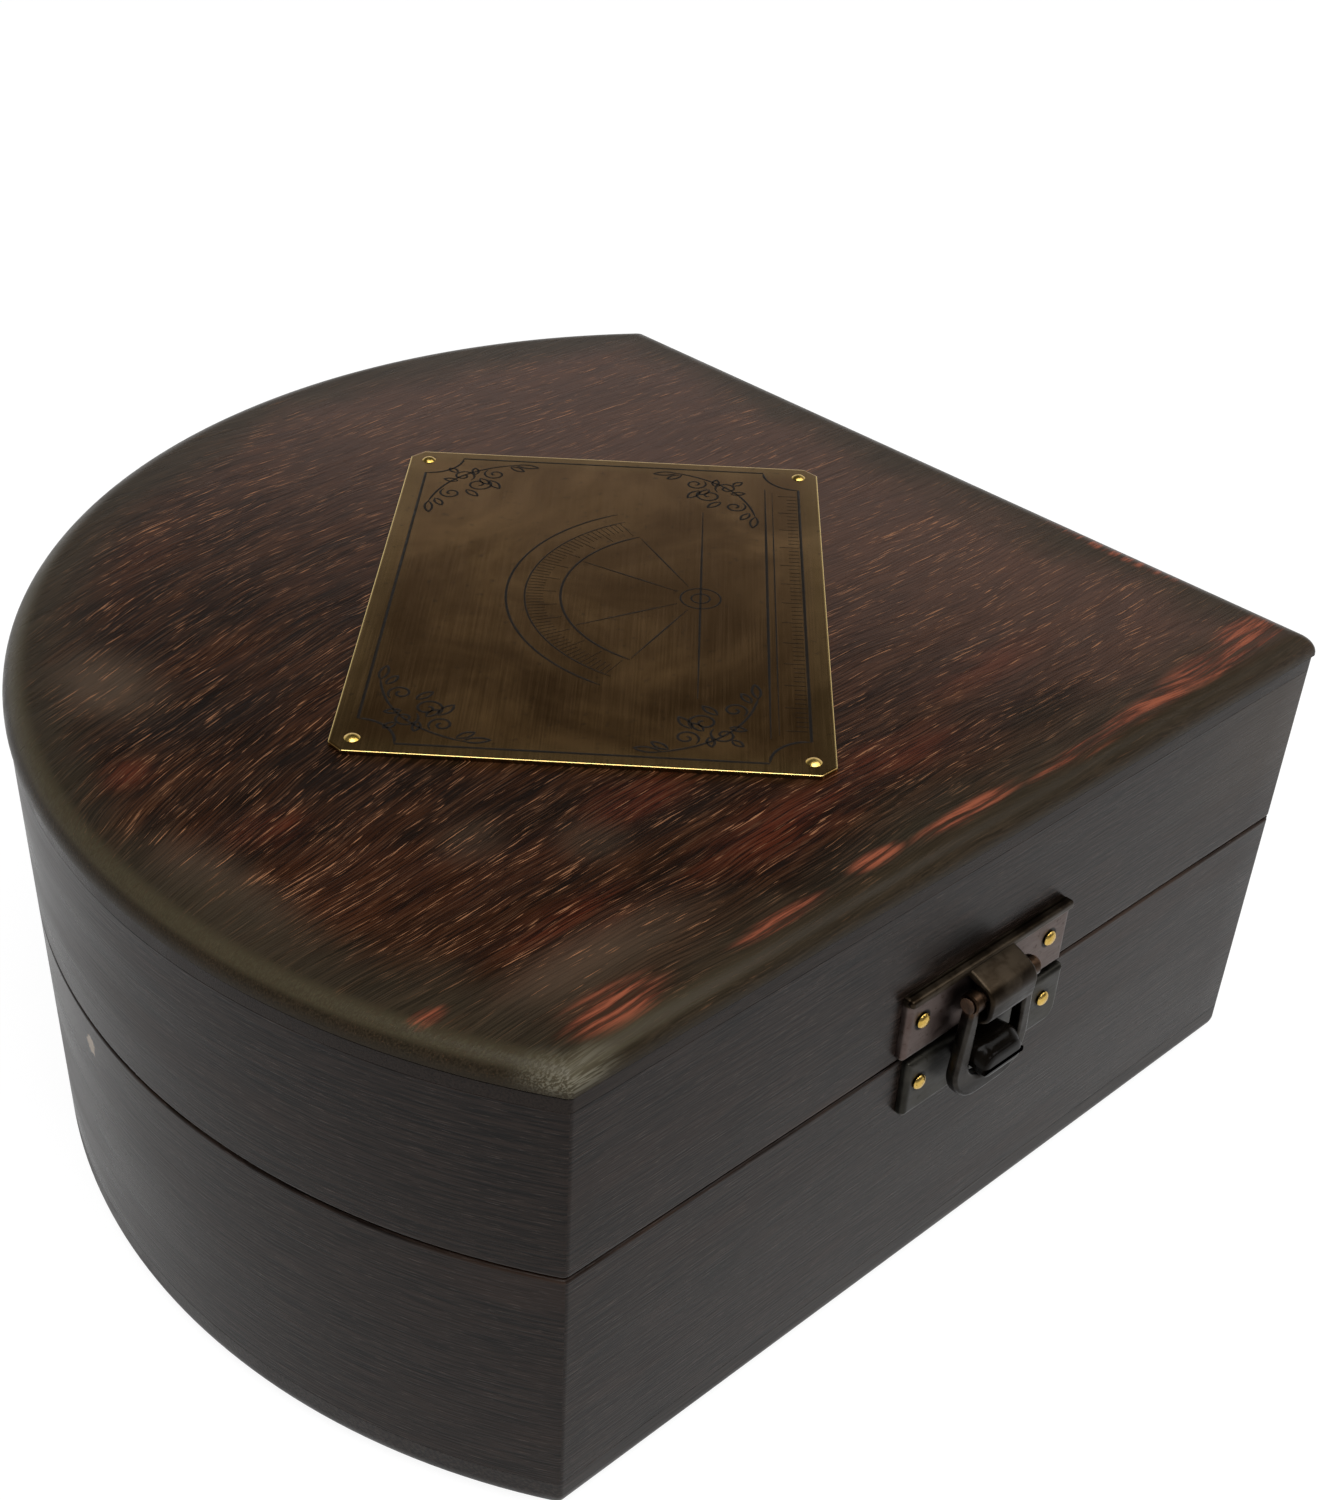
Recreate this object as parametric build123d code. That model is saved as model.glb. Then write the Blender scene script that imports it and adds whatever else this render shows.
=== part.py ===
"""Wooden case for a small nautical instrument.

The plan is a square corner closed by one round wall: two equal straight walls meet at a right angle, and an
arc joins their far ends. The case stands on its base, and the lid is a shallower tray of the same plan.
All sizes are in millimetres. The origin is the arc's centre, on the underside. +Z is up, the latch is on the
face towards -Y and the hinges are on the face towards +X.
"""

from build123d import *
from math import sqrt
import os

# Plan of the case
ARC_RADIUS = 91.0          # outside of the round wall
CENTRE_TO_FACE = 53.1      # from the arc's centre to the outside of each straight wall
CORNER_EASE = 1.0          # sanded radius of the three upright corners

# Heights
BASE_HEIGHT = 38.5
LID_HEIGHT = 28.5
SEAM_GAP = 0.3             # shadow line between base and lid
BOARD_THICKNESS = 5.0      # floor board and top board
WALL_THICKNESS = 8.0
EDGE_ROUND = 2.8           # rounded edge of the top board and of the floor board
SEAM_EASE = 0.4            # broken edges on both sides of the seam

# Velvet linings
PAD_THICKNESS = 2.0
STRIP_THICKNESS = 1.0
LINING_GAP = 0.1           # glue line round the linings
STRIP_DROP = 1.0           # how far the wall strips stop short of the seam

# Name plate on the lid, square to the diagonal through the corner
PLATE_LENGTH = 77.8        # across the diagonal
PLATE_WIDTH = 58.3         # along the diagonal
PLATE_THICKNESS = 0.6
PLATE_CLIP = 1.8           # clipped corners
PLATE_FROM_CENTRE = 17.0   # from the arc's centre, along the diagonal towards the round wall
PLATE_PIN_INSET = 2.7
PLATE_PIN_HEAD_RADIUS = 0.95
PLATE_PIN_HEAD_HEIGHT = 0.4
PLATE_PIN_SHANK_RADIUS = 0.4
PLATE_PIN_LENGTH = 4.0

# Latch on the front face. Its plates were set by eye, so neither is quite on the hasp's middle line
LATCH_SHIFT = 0.5          # of the hasp and hook, from the middle of the front face towards the hinges
LATCH_PLATE_THICKNESS = 1.2
LATCH_PLATE_BEVEL = 0.7
LID_PLATE_WIDTH = 29.2
LID_PLATE_HEIGHT = 9.2
LID_PLATE_SHIFT = 0.6      # from the hasp's middle line
LID_PLATE_GAP = 0.8        # from the lid's lower edge
BASE_PLATE_WIDTH = 28.7
BASE_PLATE_HEIGHT = 8.4
BASE_PLATE_SHIFT = 1.9
BASE_PLATE_GAP = 0.2       # from the base's upper edge
RIM_HEIGHT = 1.1           # folded top edge of the upper plate
RIM_PROUD = 0.3
PLATE_CORNER = 1.9         # rounded lower corners of the lower plate
NAIL_SPREAD = 11.5         # from the middle of a pair of nails to each nail
LID_NAIL_DROP = 3.9        # from the top of the upper plate
BASE_NAIL_DROP = 3.55      # from the top of the lower plate
BASE_NAIL_SHIFT = 1.15     # of the lower pair, from the hasp's middle line
NAIL_HEAD_RADIUS = 1.0
NAIL_HEAD_HEIGHT = 0.55
NAIL_SHANK_RADIUS = 0.55
NAIL_LENGTH = 6.5

# Knuckle, pin and loop of the hasp
KNUCKLE_WIDTH = 8.2
KNUCKLE_RADIUS = 2.2       # round the pin
CURL_RADIUS = 2.3          # below the pin, where the sheet curls back to the plate
CURL_DROP = 1.4            # from the pin axis down to the middle of the curl
CURL_OUT = 3.0             # from the front face to the middle of the curl
KNUCKLE_WALL = 0.9         # rolled sheet round the knuckle's hollow ends
KNUCKLE_DISH_DEPTH = 1.2
HASP_PIN_RADIUS = 0.75
HASP_AXIS_OUT = 3.2        # pin axis in front of the front face
HASP_AXIS_DROP = 3.6       # pin axis below the top of the upper plate
HASP_SIDE_PLAY = 0.15
HASP_ARM_WIDTH = 2.35      # at the foot of the loop
HASP_EYE_WIDTH = 1.55      # at the pin, where the arms are narrower
HASP_THICKNESS = 1.7
HASP_EYE_RADIUS = 1.35
HASP_REACH = 13.9          # from the pin axis to the bottom of the loop
HASP_BAR_HEIGHT = 1.7
HASP_OUTER_CORNER = 5.0
HASP_INNER_CORNER = 2.9
HASP_PIN_HEAD_RADIUS = 1.0
HASP_PIN_HEAD_HEIGHT = 0.3

# Hook on the lower plate
HOOK_DROP = 1.0            # from the top of the lower plate to the top of the hook
HOOK_REACH = 5.6           # in front of the front face
HOOK_CROWN = 2.2           # radius where the hook turns down
HOOK_LIP_DEPTH = 0.7       # how far the lip hangs below the hook's underside
HOOK_LIP_THICKNESS = 1.5
HOOK_LIP_ROUND = 0.6
HOOK_CLEARANCE = 0.25      # between the hook and the loop as it swings past
HOOK_FOOT_WIDTH = 4.0
HOOK_FOOT_HEIGHT = 1.8

# Butt hinges let into the edges of the side walls
HINGE_LENGTH = 25.0
HINGE_SPREAD = 38.0        # from the middle of the side wall to each hinge
LEAF_THICKNESS = 1.0
LEAF_DEPTH = 6.4
BARREL_RADIUS = 2.0
BARREL_GAP = 0.2           # between barrel and wall
KNUCKLE_PLAY = 0.15        # between neighbouring knuckles
HINGE_PIN_RADIUS = 0.8
HINGE_PIN_HEAD_RADIUS = 1.3
HINGE_PIN_HEAD_HEIGHT = 0.4
SCREW_SPREAD = 7.5
SCREW_HEAD_RADIUS = 1.6
SCREW_SHANK_RADIUS = 0.8
SCREW_LENGTH = 8.0
SCREW_SLOT_WIDTH = 0.4
SCREW_SLOT_DEPTH = 0.25

# Fits
RUNNING_CLEARANCE = 0.05   # radial, turning parts
FIXED_CLEARANCE = 0.02     # radial, parts that stay put
MORTISE_CLEARANCE = 0.1    # round the hinge leaves

# Heights and places that follow
SEAM = BASE_HEIGHT
LID_FOOT = SEAM + SEAM_GAP
TOP = BASE_HEIGHT + LID_HEIGHT
FRONT_FACE = -CENTRE_TO_FACE
SIDE_FACE = CENTRE_TO_FACE
OVERRUN = 4.0              # how far a cutting solid runs past what it cuts


def corners(inset=0.0):
    """The plan's corners, moved inwards by inset: round wall to front, front to side, side to round wall."""
    face = CENTRE_TO_FACE - inset
    reach = sqrt((ARC_RADIUS - inset) ** 2 - face**2)
    return Vector(-reach, -face), Vector(face, -face), Vector(face, reach)


def plan(inset=0.0):
    """The outline of the case as a face, moved inwards by inset."""
    left, right, back = corners(inset)
    diagonal = (ARC_RADIUS - inset) / sqrt(2)
    return make_face([
        Line(left, right),
        Line(right, back),
        ThreePointArc(back, (-diagonal, diagonal), left),
    ])


def prism(face, low, high):
    """A plan face made solid between two heights."""
    return Pos(0, 0, low) * extrude(face, high - low)


def slab(low, high):
    """Everything in the plan between two heights."""
    width = 2 * (ARC_RADIUS + OVERRUN)
    return Pos(0, 0, (low + high) / 2) * Box(width, width, high - low)


def rounded_block(low, high, low_round, high_round):
    """A solid of the whole plan, with its lower and upper edges rounded and its upright corners eased."""
    block = prism(plan(), low, high)
    block = fillet(block.edges().group_by(Axis.Z)[0], low_round)
    block = fillet(block.edges().group_by(Axis.Z)[-1], high_round)
    upright = prism(plan(), low, high)
    return block & fillet(upright.edges().filter_by(Axis.Z), CORNER_EASE)


def wedge(outer, inner):
    """Cutting prism that keeps the straight wall between two mitred corners."""
    mitres = [(out - inside).normalized() * OVERRUN for out, inside in zip(outer, inner)]
    points = [outer[0] + mitres[0], outer[1] + mitres[1], inner[1] - mitres[1], inner[0] - mitres[0]]
    return prism(make_face(Polyline(*points, close=True)), -OVERRUN, TOP + OVERRUN)


def mitred_walls(block, low, high):
    """The front, side and round walls of one half, mitred where they meet."""
    shell = (block & slab(low, high)) - prism(plan(WALL_THICKNESS), low - OVERRUN, high + OVERRUN)
    outer, inner = corners(), corners(WALL_THICKNESS)
    front_wedge = wedge(outer[:2], inner[:2])
    side_wedge = wedge(outer[1:], inner[1:])
    return shell & front_wedge, shell & side_wedge, shell - front_wedge - side_wedge


def lining_pad(low):
    """Velvet pad that covers a board inside the walls, from low upwards."""
    return prism(plan(WALL_THICKNESS + LINING_GAP), low, low + PAD_THICKNESS)


def lining_strip(low, high):
    """Velvet strip round the inside of the walls."""
    glued_side = WALL_THICKNESS + LINING_GAP
    middle = prism(plan(glued_side + STRIP_THICKNESS), low - OVERRUN, high + OVERRUN)
    return prism(plan(glued_side), low, high) - middle


def domed_nail(head_radius, head_height, shank_radius, length):
    """A nail along +Z with its head's underside at z = 0 and its shank below."""
    dome_radius = (head_radius**2 + head_height**2) / (2 * head_height)
    dome = Pos(0, 0, head_height - dome_radius) * Sphere(dome_radius)
    head = dome & (Pos(0, 0, head_height / 2) * Cylinder(head_radius, head_height))
    shank = Pos(0, 0, -length / 2) * Cylinder(shank_radius, length)
    return head + shank


def countersunk_screw():
    """A flat-headed screw along +Z with the top of its head at z = 0."""
    cone_height = SCREW_HEAD_RADIUS - SCREW_SHANK_RADIUS
    head = Pos(0, 0, -cone_height / 2) * Cone(SCREW_SHANK_RADIUS, SCREW_HEAD_RADIUS, cone_height)
    shank_length = SCREW_LENGTH - cone_height
    shank = Pos(0, 0, -cone_height - shank_length / 2) * Cylinder(SCREW_SHANK_RADIUS, shank_length)
    slot = Box(2 * SCREW_HEAD_RADIUS, SCREW_SLOT_WIDTH, 2 * SCREW_SLOT_DEPTH)
    return head + shank - slot


def screw_hole():
    """The room that a countersunk screw needs in a leaf and in the wood."""
    cone_height = SCREW_HEAD_RADIUS - SCREW_SHANK_RADIUS
    mouth = SCREW_HEAD_RADIUS + FIXED_CLEARANCE
    bore = SCREW_SHANK_RADIUS + FIXED_CLEARANCE
    cone = Pos(0, 0, -cone_height / 2) * Cone(bore, mouth, cone_height)
    return cone + Pos(0, 0, -SCREW_LENGTH / 2) * Cylinder(bore, SCREW_LENGTH + 2 * FIXED_CLEARANCE)


def group(pieces):
    """Separate solids that share one node."""
    return Compound(children=list(pieces))


parts = {}

# Wooden shells -------------------------------------------------------------------------------------------

base_block = rounded_block(0, SEAM, EDGE_ROUND, SEAM_EASE)
lid_block = rounded_block(LID_FOOT, TOP, SEAM_EASE, EDGE_ROUND)
LID_CEILING = TOP - BOARD_THICKNESS

parts["base_floor_board"] = base_block & slab(0, BOARD_THICKNESS)
parts["lid_top_board"] = lid_block & slab(LID_CEILING, TOP)
(parts["base_front_wall"], parts["base_side_wall"], parts["base_curved_wall"]) = mitred_walls(
    base_block, BOARD_THICKNESS, SEAM
)
(parts["lid_front_wall"], parts["lid_side_wall"], parts["lid_curved_wall"]) = mitred_walls(
    lid_block, LID_FOOT, LID_CEILING
)

# Velvet linings ------------------------------------------------------------------------------------------

parts["base_floor_lining"] = lining_pad(BOARD_THICKNESS)
parts["lid_top_lining"] = lining_pad(LID_CEILING - PAD_THICKNESS)
parts["base_wall_lining"] = lining_strip(BOARD_THICKNESS + PAD_THICKNESS + LINING_GAP, SEAM - STRIP_DROP)
parts["lid_wall_lining"] = lining_strip(LID_FOOT + STRIP_DROP, LID_CEILING - PAD_THICKNESS - LINING_GAP)

# Name plate and its pins ---------------------------------------------------------------------------------

plate_place = Pos(-PLATE_FROM_CENTRE / sqrt(2), PLATE_FROM_CENTRE / sqrt(2), TOP) * Rot(0, 0, 45)
plate_blank = Pos(0, 0, PLATE_THICKNESS / 2) * Box(PLATE_LENGTH, PLATE_WIDTH, PLATE_THICKNESS)
plate_blank = chamfer(plate_blank.edges().filter_by(Axis.Z), PLATE_CLIP)
pin_places = [
    Pos(sx * (PLATE_LENGTH / 2 - PLATE_PIN_INSET), sy * (PLATE_WIDTH / 2 - PLATE_PIN_INSET), 0)
    for sx in (-1, 1)
    for sy in (-1, 1)
]
pin_bore = Cylinder(PLATE_PIN_SHANK_RADIUS + FIXED_CLEARANCE, 2 * (PLATE_PIN_LENGTH + PLATE_THICKNESS))
plate_pin = domed_nail(PLATE_PIN_HEAD_RADIUS, PLATE_PIN_HEAD_HEIGHT, PLATE_PIN_SHANK_RADIUS, PLATE_PIN_LENGTH)
for place in pin_places:
    plate_blank -= place * pin_bore
    parts["lid_top_board"] -= plate_place * place * pin_bore
parts["name_plate"] = plate_place * plate_blank
parts["name_plate_pins"] = group(
    plate_place * place * Pos(0, 0, PLATE_THICKNESS) * plate_pin for place in pin_places
)

# Latch ---------------------------------------------------------------------------------------------------

left_corner, right_corner, back_corner = corners()
LATCH_MIDDLE = (left_corner.X + right_corner.X) / 2 + LATCH_SHIFT
LID_PLATE_LOW = LID_FOOT + LID_PLATE_GAP
LID_PLATE_TOP = LID_PLATE_LOW + LID_PLATE_HEIGHT
BASE_PLATE_TOP = SEAM - BASE_PLATE_GAP
BASE_PLATE_LOW = BASE_PLATE_TOP - BASE_PLATE_HEIGHT
HASP_AXIS_Y = FRONT_FACE - HASP_AXIS_OUT
HASP_AXIS_Z = LID_PLATE_TOP - HASP_AXIS_DROP
out_of_face = Rot(90, 0, 0)  # turns +Z to -Y, out of the front face


def face_block(middle, width, low, high, depth):
    """A block that stands out of the front face by depth."""
    place = Pos(middle, FRONT_FACE - depth / 2, (low + high) / 2)
    return place * Box(width, depth, high - low)


def face_plate(middle, width, low, high):
    """A plate on the front face, bevelled on its outer edges."""
    blank = face_block(middle, width, low, high, LATCH_PLATE_THICKNESS)
    front_edges = blank.faces().sort_by(Axis.Y)[0].edges()
    return chamfer(front_edges, LATCH_PLATE_BEVEL)


def along_x(radius, length):
    """A round bar along X on the hasp's axis, centred on the latch."""
    return Pos(LATCH_MIDDLE, HASP_AXIS_Y, HASP_AXIS_Z) * Rot(0, 90, 0) * Cylinder(radius, length)


def rolled(inset, length):
    """The knuckle's solid, moved inwards by inset: round over the pin, then down and back to the plate."""
    over_pin = Pos(HASP_AXIS_Y, HASP_AXIS_Z) * Circle(KNUCKLE_RADIUS - inset)
    curl = Pos(FRONT_FACE - CURL_OUT, HASP_AXIS_Z - CURL_DROP) * Circle(CURL_RADIUS - inset)
    side_view = Plane.YZ * make_hull(over_pin.edges() + curl.edges())
    return Pos(LATCH_MIDDLE, 0, 0) * extrude(side_view, length / 2, both=True)


lid_plate_middle = LATCH_MIDDLE + LID_PLATE_SHIFT
lid_plate = face_plate(lid_plate_middle, LID_PLATE_WIDTH, LID_PLATE_LOW, LID_PLATE_TOP)
rim_depth = LATCH_PLATE_THICKNESS + RIM_PROUD
lid_plate += face_block(
    lid_plate_middle, LID_PLATE_WIDTH, LID_PLATE_TOP - RIM_HEIGHT, LID_PLATE_TOP, rim_depth
)
strap_top = HASP_AXIS_Z + KNUCKLE_RADIUS
lid_plate += face_block(LATCH_MIDDLE, KNUCKLE_WIDTH, strap_top - KNUCKLE_RADIUS, strap_top, HASP_AXIS_OUT)
lid_plate += rolled(0, KNUCKLE_WIDTH) - face_block(
    LATCH_MIDDLE, 2 * KNUCKLE_WIDTH, BASE_PLATE_LOW, LID_PLATE_TOP, LATCH_PLATE_THICKNESS / 2
)
lid_plate -= along_x(HASP_PIN_RADIUS + FIXED_CLEARANCE, KNUCKLE_WIDTH)
dish = rolled(KNUCKLE_WALL, KNUCKLE_DISH_DEPTH)
for side in (-1, 1):
    lid_plate -= Pos(side * (KNUCKLE_WIDTH - KNUCKLE_DISH_DEPTH) / 2, 0, 0) * dish

base_plate_middle = LATCH_MIDDLE + BASE_PLATE_SHIFT
base_plate = face_plate(base_plate_middle, BASE_PLATE_WIDTH, BASE_PLATE_LOW, BASE_PLATE_TOP)
base_plate = fillet(base_plate.edges().filter_by(Axis.Y).group_by(Axis.Z)[0], PLATE_CORNER)

nail = domed_nail(NAIL_HEAD_RADIUS, NAIL_HEAD_HEIGHT, NAIL_SHANK_RADIUS, NAIL_LENGTH)
nail_bore = Cylinder(NAIL_SHANK_RADIUS + FIXED_CLEARANCE, 2 * NAIL_LENGTH)


def nail_places(middle, level):
    """The places of a latch plate's two nails, at the plate's outer face."""
    return [
        Pos(middle + side * NAIL_SPREAD, FRONT_FACE - LATCH_PLATE_THICKNESS, level) * out_of_face
        for side in (-1, 1)
    ]


lid_nail_places = nail_places(LATCH_MIDDLE, LID_PLATE_TOP - LID_NAIL_DROP)
base_nail_places = nail_places(LATCH_MIDDLE + BASE_NAIL_SHIFT, BASE_PLATE_TOP - BASE_NAIL_DROP)
for place in lid_nail_places:
    lid_plate -= place * nail_bore
    parts["lid_front_wall"] -= place * nail_bore
for place in base_nail_places:
    base_plate -= place * nail_bore
    parts["base_front_wall"] -= place * nail_bore
parts["lid_latch_nails"] = group(place * nail for place in lid_nail_places)
parts["base_latch_nails"] = group(place * nail for place in base_nail_places)

# The loop hangs from the pin and goes round the hook. Its outline is drawn as seen from the front.
half_inner = KNUCKLE_WIDTH / 2 + HASP_SIDE_PLAY
half_outer = half_inner + HASP_ARM_WIDTH
loop_plane = Plane(origin=(LATCH_MIDDLE, HASP_AXIS_Y, HASP_AXIS_Z), x_dir=(1, 0, 0), z_dir=(0, -1, 0))
half_top = half_inner + HASP_EYE_WIDTH
outside = make_face(Polyline(
    (-half_top, 0), (half_top, 0), (half_outer, -HASP_REACH), (-half_outer, -HASP_REACH), close=True
))
outside = fillet(outside.vertices().group_by(Axis.Y)[0], HASP_OUTER_CORNER)
opening_height = HASP_REACH - HASP_BAR_HEIGHT
opening = Pos(0, -opening_height / 2) * Rectangle(2 * half_inner, opening_height)
opening = fillet(opening.vertices().group_by(Axis.Y)[0], HASP_INNER_CORNER)
hasp_loop = extrude(loop_plane * (outside - opening), HASP_THICKNESS / 2, both=True)
eye = along_x(HASP_EYE_RADIUS, HASP_EYE_WIDTH)
for side in (-1, 1):
    hasp_loop += Pos(side * (half_inner + half_top) / 2, 0, 0) * eye
hasp_loop -= along_x(HASP_PIN_RADIUS + RUNNING_CLEARANCE, 4 * half_outer)
parts["hasp_loop"] = hasp_loop

pin_half_length = half_top + HASP_SIDE_PLAY
hasp_pin = along_x(HASP_PIN_RADIUS, 2 * pin_half_length)
pin_head = along_x(HASP_PIN_HEAD_RADIUS, HASP_PIN_HEAD_HEIGHT)
for side in (-1, 1):
    hasp_pin += Pos(side * (pin_half_length + HASP_PIN_HEAD_HEIGHT / 2), 0, 0) * pin_head
parts["hasp_pin"] = hasp_pin
parts["lid_latch_plate"] = lid_plate

# The hook stands out of the lower plate, inside the circle that the loop's bar sweeps, and its lip hangs in
# front of the bar. Its side view has u out of the face and v up, from the level of the pin axis.
hook_half_width = half_inner - HOOK_CLEARANCE
sweep_radius = opening_height - HOOK_CLEARANCE
hook_top = BASE_PLATE_TOP - HOOK_DROP - HASP_AXIS_Z
hook_tip = -sqrt(sweep_radius**2 - (HOOK_REACH - HASP_AXIS_OUT) ** 2)
hook_underside = hook_tip + HOOK_LIP_DEPTH
hook_plane = Plane(origin=(LATCH_MIDDLE, FRONT_FACE, HASP_AXIS_Z), x_dir=(0, -1, 0), z_dir=(-1, 0, 0))
side_view = make_face(Polyline(
    (LATCH_PLATE_THICKNESS, hook_top),
    (HOOK_REACH, hook_top),
    (HOOK_REACH, hook_tip),
    (HOOK_REACH - HOOK_LIP_THICKNESS, hook_tip),
    (HOOK_REACH - HOOK_LIP_THICKNESS, hook_underside),
    (LATCH_PLATE_THICKNESS, hook_underside),
    close=True,
))
side_view = fillet(side_view.vertices().sort_by_distance((HOOK_REACH, hook_top, 0))[0], HOOK_CROWN)
side_view = fillet(side_view.vertices().sort_by_distance((HOOK_REACH, hook_tip, 0))[0], HOOK_LIP_ROUND)
front_view = Pos(0, (hook_top + hook_tip) / 2) * Rectangle(2 * hook_half_width, hook_top - hook_tip)
front_view = fillet(front_view.vertices().group_by(Axis.Y)[0], HASP_INNER_CORNER - HOOK_CLEARANCE)
hook = extrude(hook_plane * side_view, 2 * hook_half_width, both=True)
hook &= extrude(loop_plane * front_view, 2 * HOOK_REACH, both=True)
hook_root = HASP_AXIS_Z + (hook_top + hook_underside) / 2
foot_place = Pos(LATCH_MIDDLE, FRONT_FACE - LATCH_PLATE_THICKNESS / 2, hook_root)
foot_gap = 2 * FIXED_CLEARANCE
hook_foot = Box(HOOK_FOOT_WIDTH, LATCH_PLATE_THICKNESS, HOOK_FOOT_HEIGHT)
foot_slot = Box(HOOK_FOOT_WIDTH + foot_gap, 2 * LATCH_PLATE_THICKNESS, HOOK_FOOT_HEIGHT + foot_gap)
parts["latch_hook"] = hook + foot_place * hook_foot
parts["base_latch_plate"] = base_plate - foot_place * foot_slot

# Hinges --------------------------------------------------------------------------------------------------

HINGE_AXIS_Z = (SEAM + LID_FOOT) / 2
side_middle = (right_corner.Y + back_corner.Y) / 2
wall_reach = BARREL_RADIUS + BARREL_GAP  # from the hinge's axis to the wall
HINGE_AXIS_X = SIDE_FACE + wall_reach
hinge_places = [Pos(HINGE_AXIS_X, side_middle + side * HINGE_SPREAD, HINGE_AXIS_Z) for side in (-1, 1)]


def along_y(radius, length, middle=0.0):
    """A round bar along Y on a hinge's own axis."""
    return Pos(0, middle, 0) * Rot(90, 0, 0) * Cylinder(radius, length)


def leaf_box(side, growth=0.0):
    """The flat of a leaf below (side -1) or above (side +1) the seam, in the hinge's own frame."""
    depth = LEAF_DEPTH + growth
    level = side * (SEAM_GAP + LEAF_THICKNESS) / 2
    return Pos(-wall_reach - depth / 2, 0, level) * Box(depth, HINGE_LENGTH + 2 * growth, LEAF_THICKNESS)


def screw_places(side):
    """A leaf's two screws, heads flush with the leaf's face in the seam."""
    turn = Rot(0, 0, 0) if side < 0 else Rot(180, 0, 0)
    return [
        Pos(-wall_reach - LEAF_DEPTH / 2, spread, side * SEAM_GAP / 2) * turn
        for spread in (-SCREW_SPREAD, SCREW_SPREAD)
    ]


def leaf(side, knuckles):
    """One leaf with its knuckles: side is -1 for the base and +1 for the lid."""
    solid = leaf_box(side)
    level = side * (SEAM_GAP + LEAF_THICKNESS) / 2
    for middle, length in knuckles:
        solid += along_y(BARREL_RADIUS, length, middle)
        solid += Pos(-wall_reach / 2, middle, level) * Box(wall_reach, length, LEAF_THICKNESS)
    return solid


middle_length = HINGE_LENGTH / 3
end_length = middle_length - KNUCKLE_PLAY
end_knuckles = [(side * (HINGE_LENGTH - end_length) / 2, end_length) for side in (-1, 1)]
base_leaf = leaf(-1, end_knuckles) - along_y(HINGE_PIN_RADIUS + FIXED_CLEARANCE, 2 * HINGE_LENGTH)
lid_leaf = leaf(1, [(0.0, middle_length)]) - along_y(HINGE_PIN_RADIUS + RUNNING_CLEARANCE, 2 * HINGE_LENGTH)
for place in screw_places(-1):
    base_leaf -= place * screw_hole()
for place in screw_places(1):
    lid_leaf -= place * screw_hole()
hinge_pin = along_y(HINGE_PIN_RADIUS, HINGE_LENGTH)
for side in (-1, 1):
    hinge_pin += along_y(
        HINGE_PIN_HEAD_RADIUS, HINGE_PIN_HEAD_HEIGHT, side * (HINGE_LENGTH + HINGE_PIN_HEAD_HEIGHT) / 2
    )

for place in hinge_places:
    parts["base_side_wall"] -= place * leaf_box(-1, MORTISE_CLEARANCE)
    parts["lid_side_wall"] -= place * leaf_box(1, MORTISE_CLEARANCE)
    for screw_place in screw_places(-1):
        parts["base_side_wall"] -= place * screw_place * screw_hole()
    for screw_place in screw_places(1):
        parts["lid_side_wall"] -= place * screw_place * screw_hole()
parts["hinge_base_leaves"] = group(place * base_leaf for place in hinge_places)
parts["hinge_lid_leaves"] = group(place * lid_leaf for place in hinge_places)
parts["hinge_pins"] = group(place * hinge_pin for place in hinge_places)
parts["hinge_base_screws"] = group(
    place * screw_place * countersunk_screw() for place in hinge_places for screw_place in screw_places(-1)
)
parts["hinge_lid_screws"] = group(
    place * screw_place * countersunk_screw() for place in hinge_places for screw_place in screw_places(1)
)

os.makedirs("parts", exist_ok=True)
for name, solid in parts.items():
    export_step(solid, f"parts/{name}.step")

box = group(parts.values()).bounding_box()
print(f"{len(parts)} sub-parts, {box.size.X:.1f} x {box.size.Y:.1f} x {box.size.Z:.1f} mm")
print(f"straight side {right_corner.X - left_corner.X:.1f} mm")
print(f"hasp axis y {HASP_AXIS_Y:.2f} z {HASP_AXIS_Z:.2f}, hook top z {hook_top + HASP_AXIS_Z:.2f}")
print(f"hinge axis x {HINGE_AXIS_X:.2f} z {HINGE_AXIS_Z:.2f}, latch middle x {LATCH_MIDDLE:.2f}")
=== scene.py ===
# %% [markdown]
# # A wooden case with one round wall
# The real thing is a box of stained and lacquered wood: a square corner closed by one round wall, with a lid, a
# brass name plate and a small steel latch. The packed model already holds its exact solids. Here the surfaces that
# people look at are built again as fine meshes, in the same place, and every finish is made with nodes. All sizes
# are in millimetres until a mesh is written, because the case is about a hand wide.

import bmesh
import bpy
import numpy as np
from functools import cached_property, reduce
from math import acos, cos, pi, radians, sin, sqrt, tau
from mathutils import Matrix, Vector


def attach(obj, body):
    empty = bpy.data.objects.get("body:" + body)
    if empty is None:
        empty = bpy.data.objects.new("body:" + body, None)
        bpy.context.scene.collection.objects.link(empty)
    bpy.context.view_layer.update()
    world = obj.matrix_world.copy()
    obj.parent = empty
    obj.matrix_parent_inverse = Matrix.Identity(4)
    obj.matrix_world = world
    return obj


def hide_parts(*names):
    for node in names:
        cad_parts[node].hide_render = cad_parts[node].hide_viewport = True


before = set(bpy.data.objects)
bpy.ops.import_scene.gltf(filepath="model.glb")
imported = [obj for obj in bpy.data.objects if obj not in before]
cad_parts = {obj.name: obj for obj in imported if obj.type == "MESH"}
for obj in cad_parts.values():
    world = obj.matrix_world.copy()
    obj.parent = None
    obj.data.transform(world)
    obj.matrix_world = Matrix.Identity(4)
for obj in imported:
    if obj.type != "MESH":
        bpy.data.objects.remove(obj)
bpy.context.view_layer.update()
MM = 0.001

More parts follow.
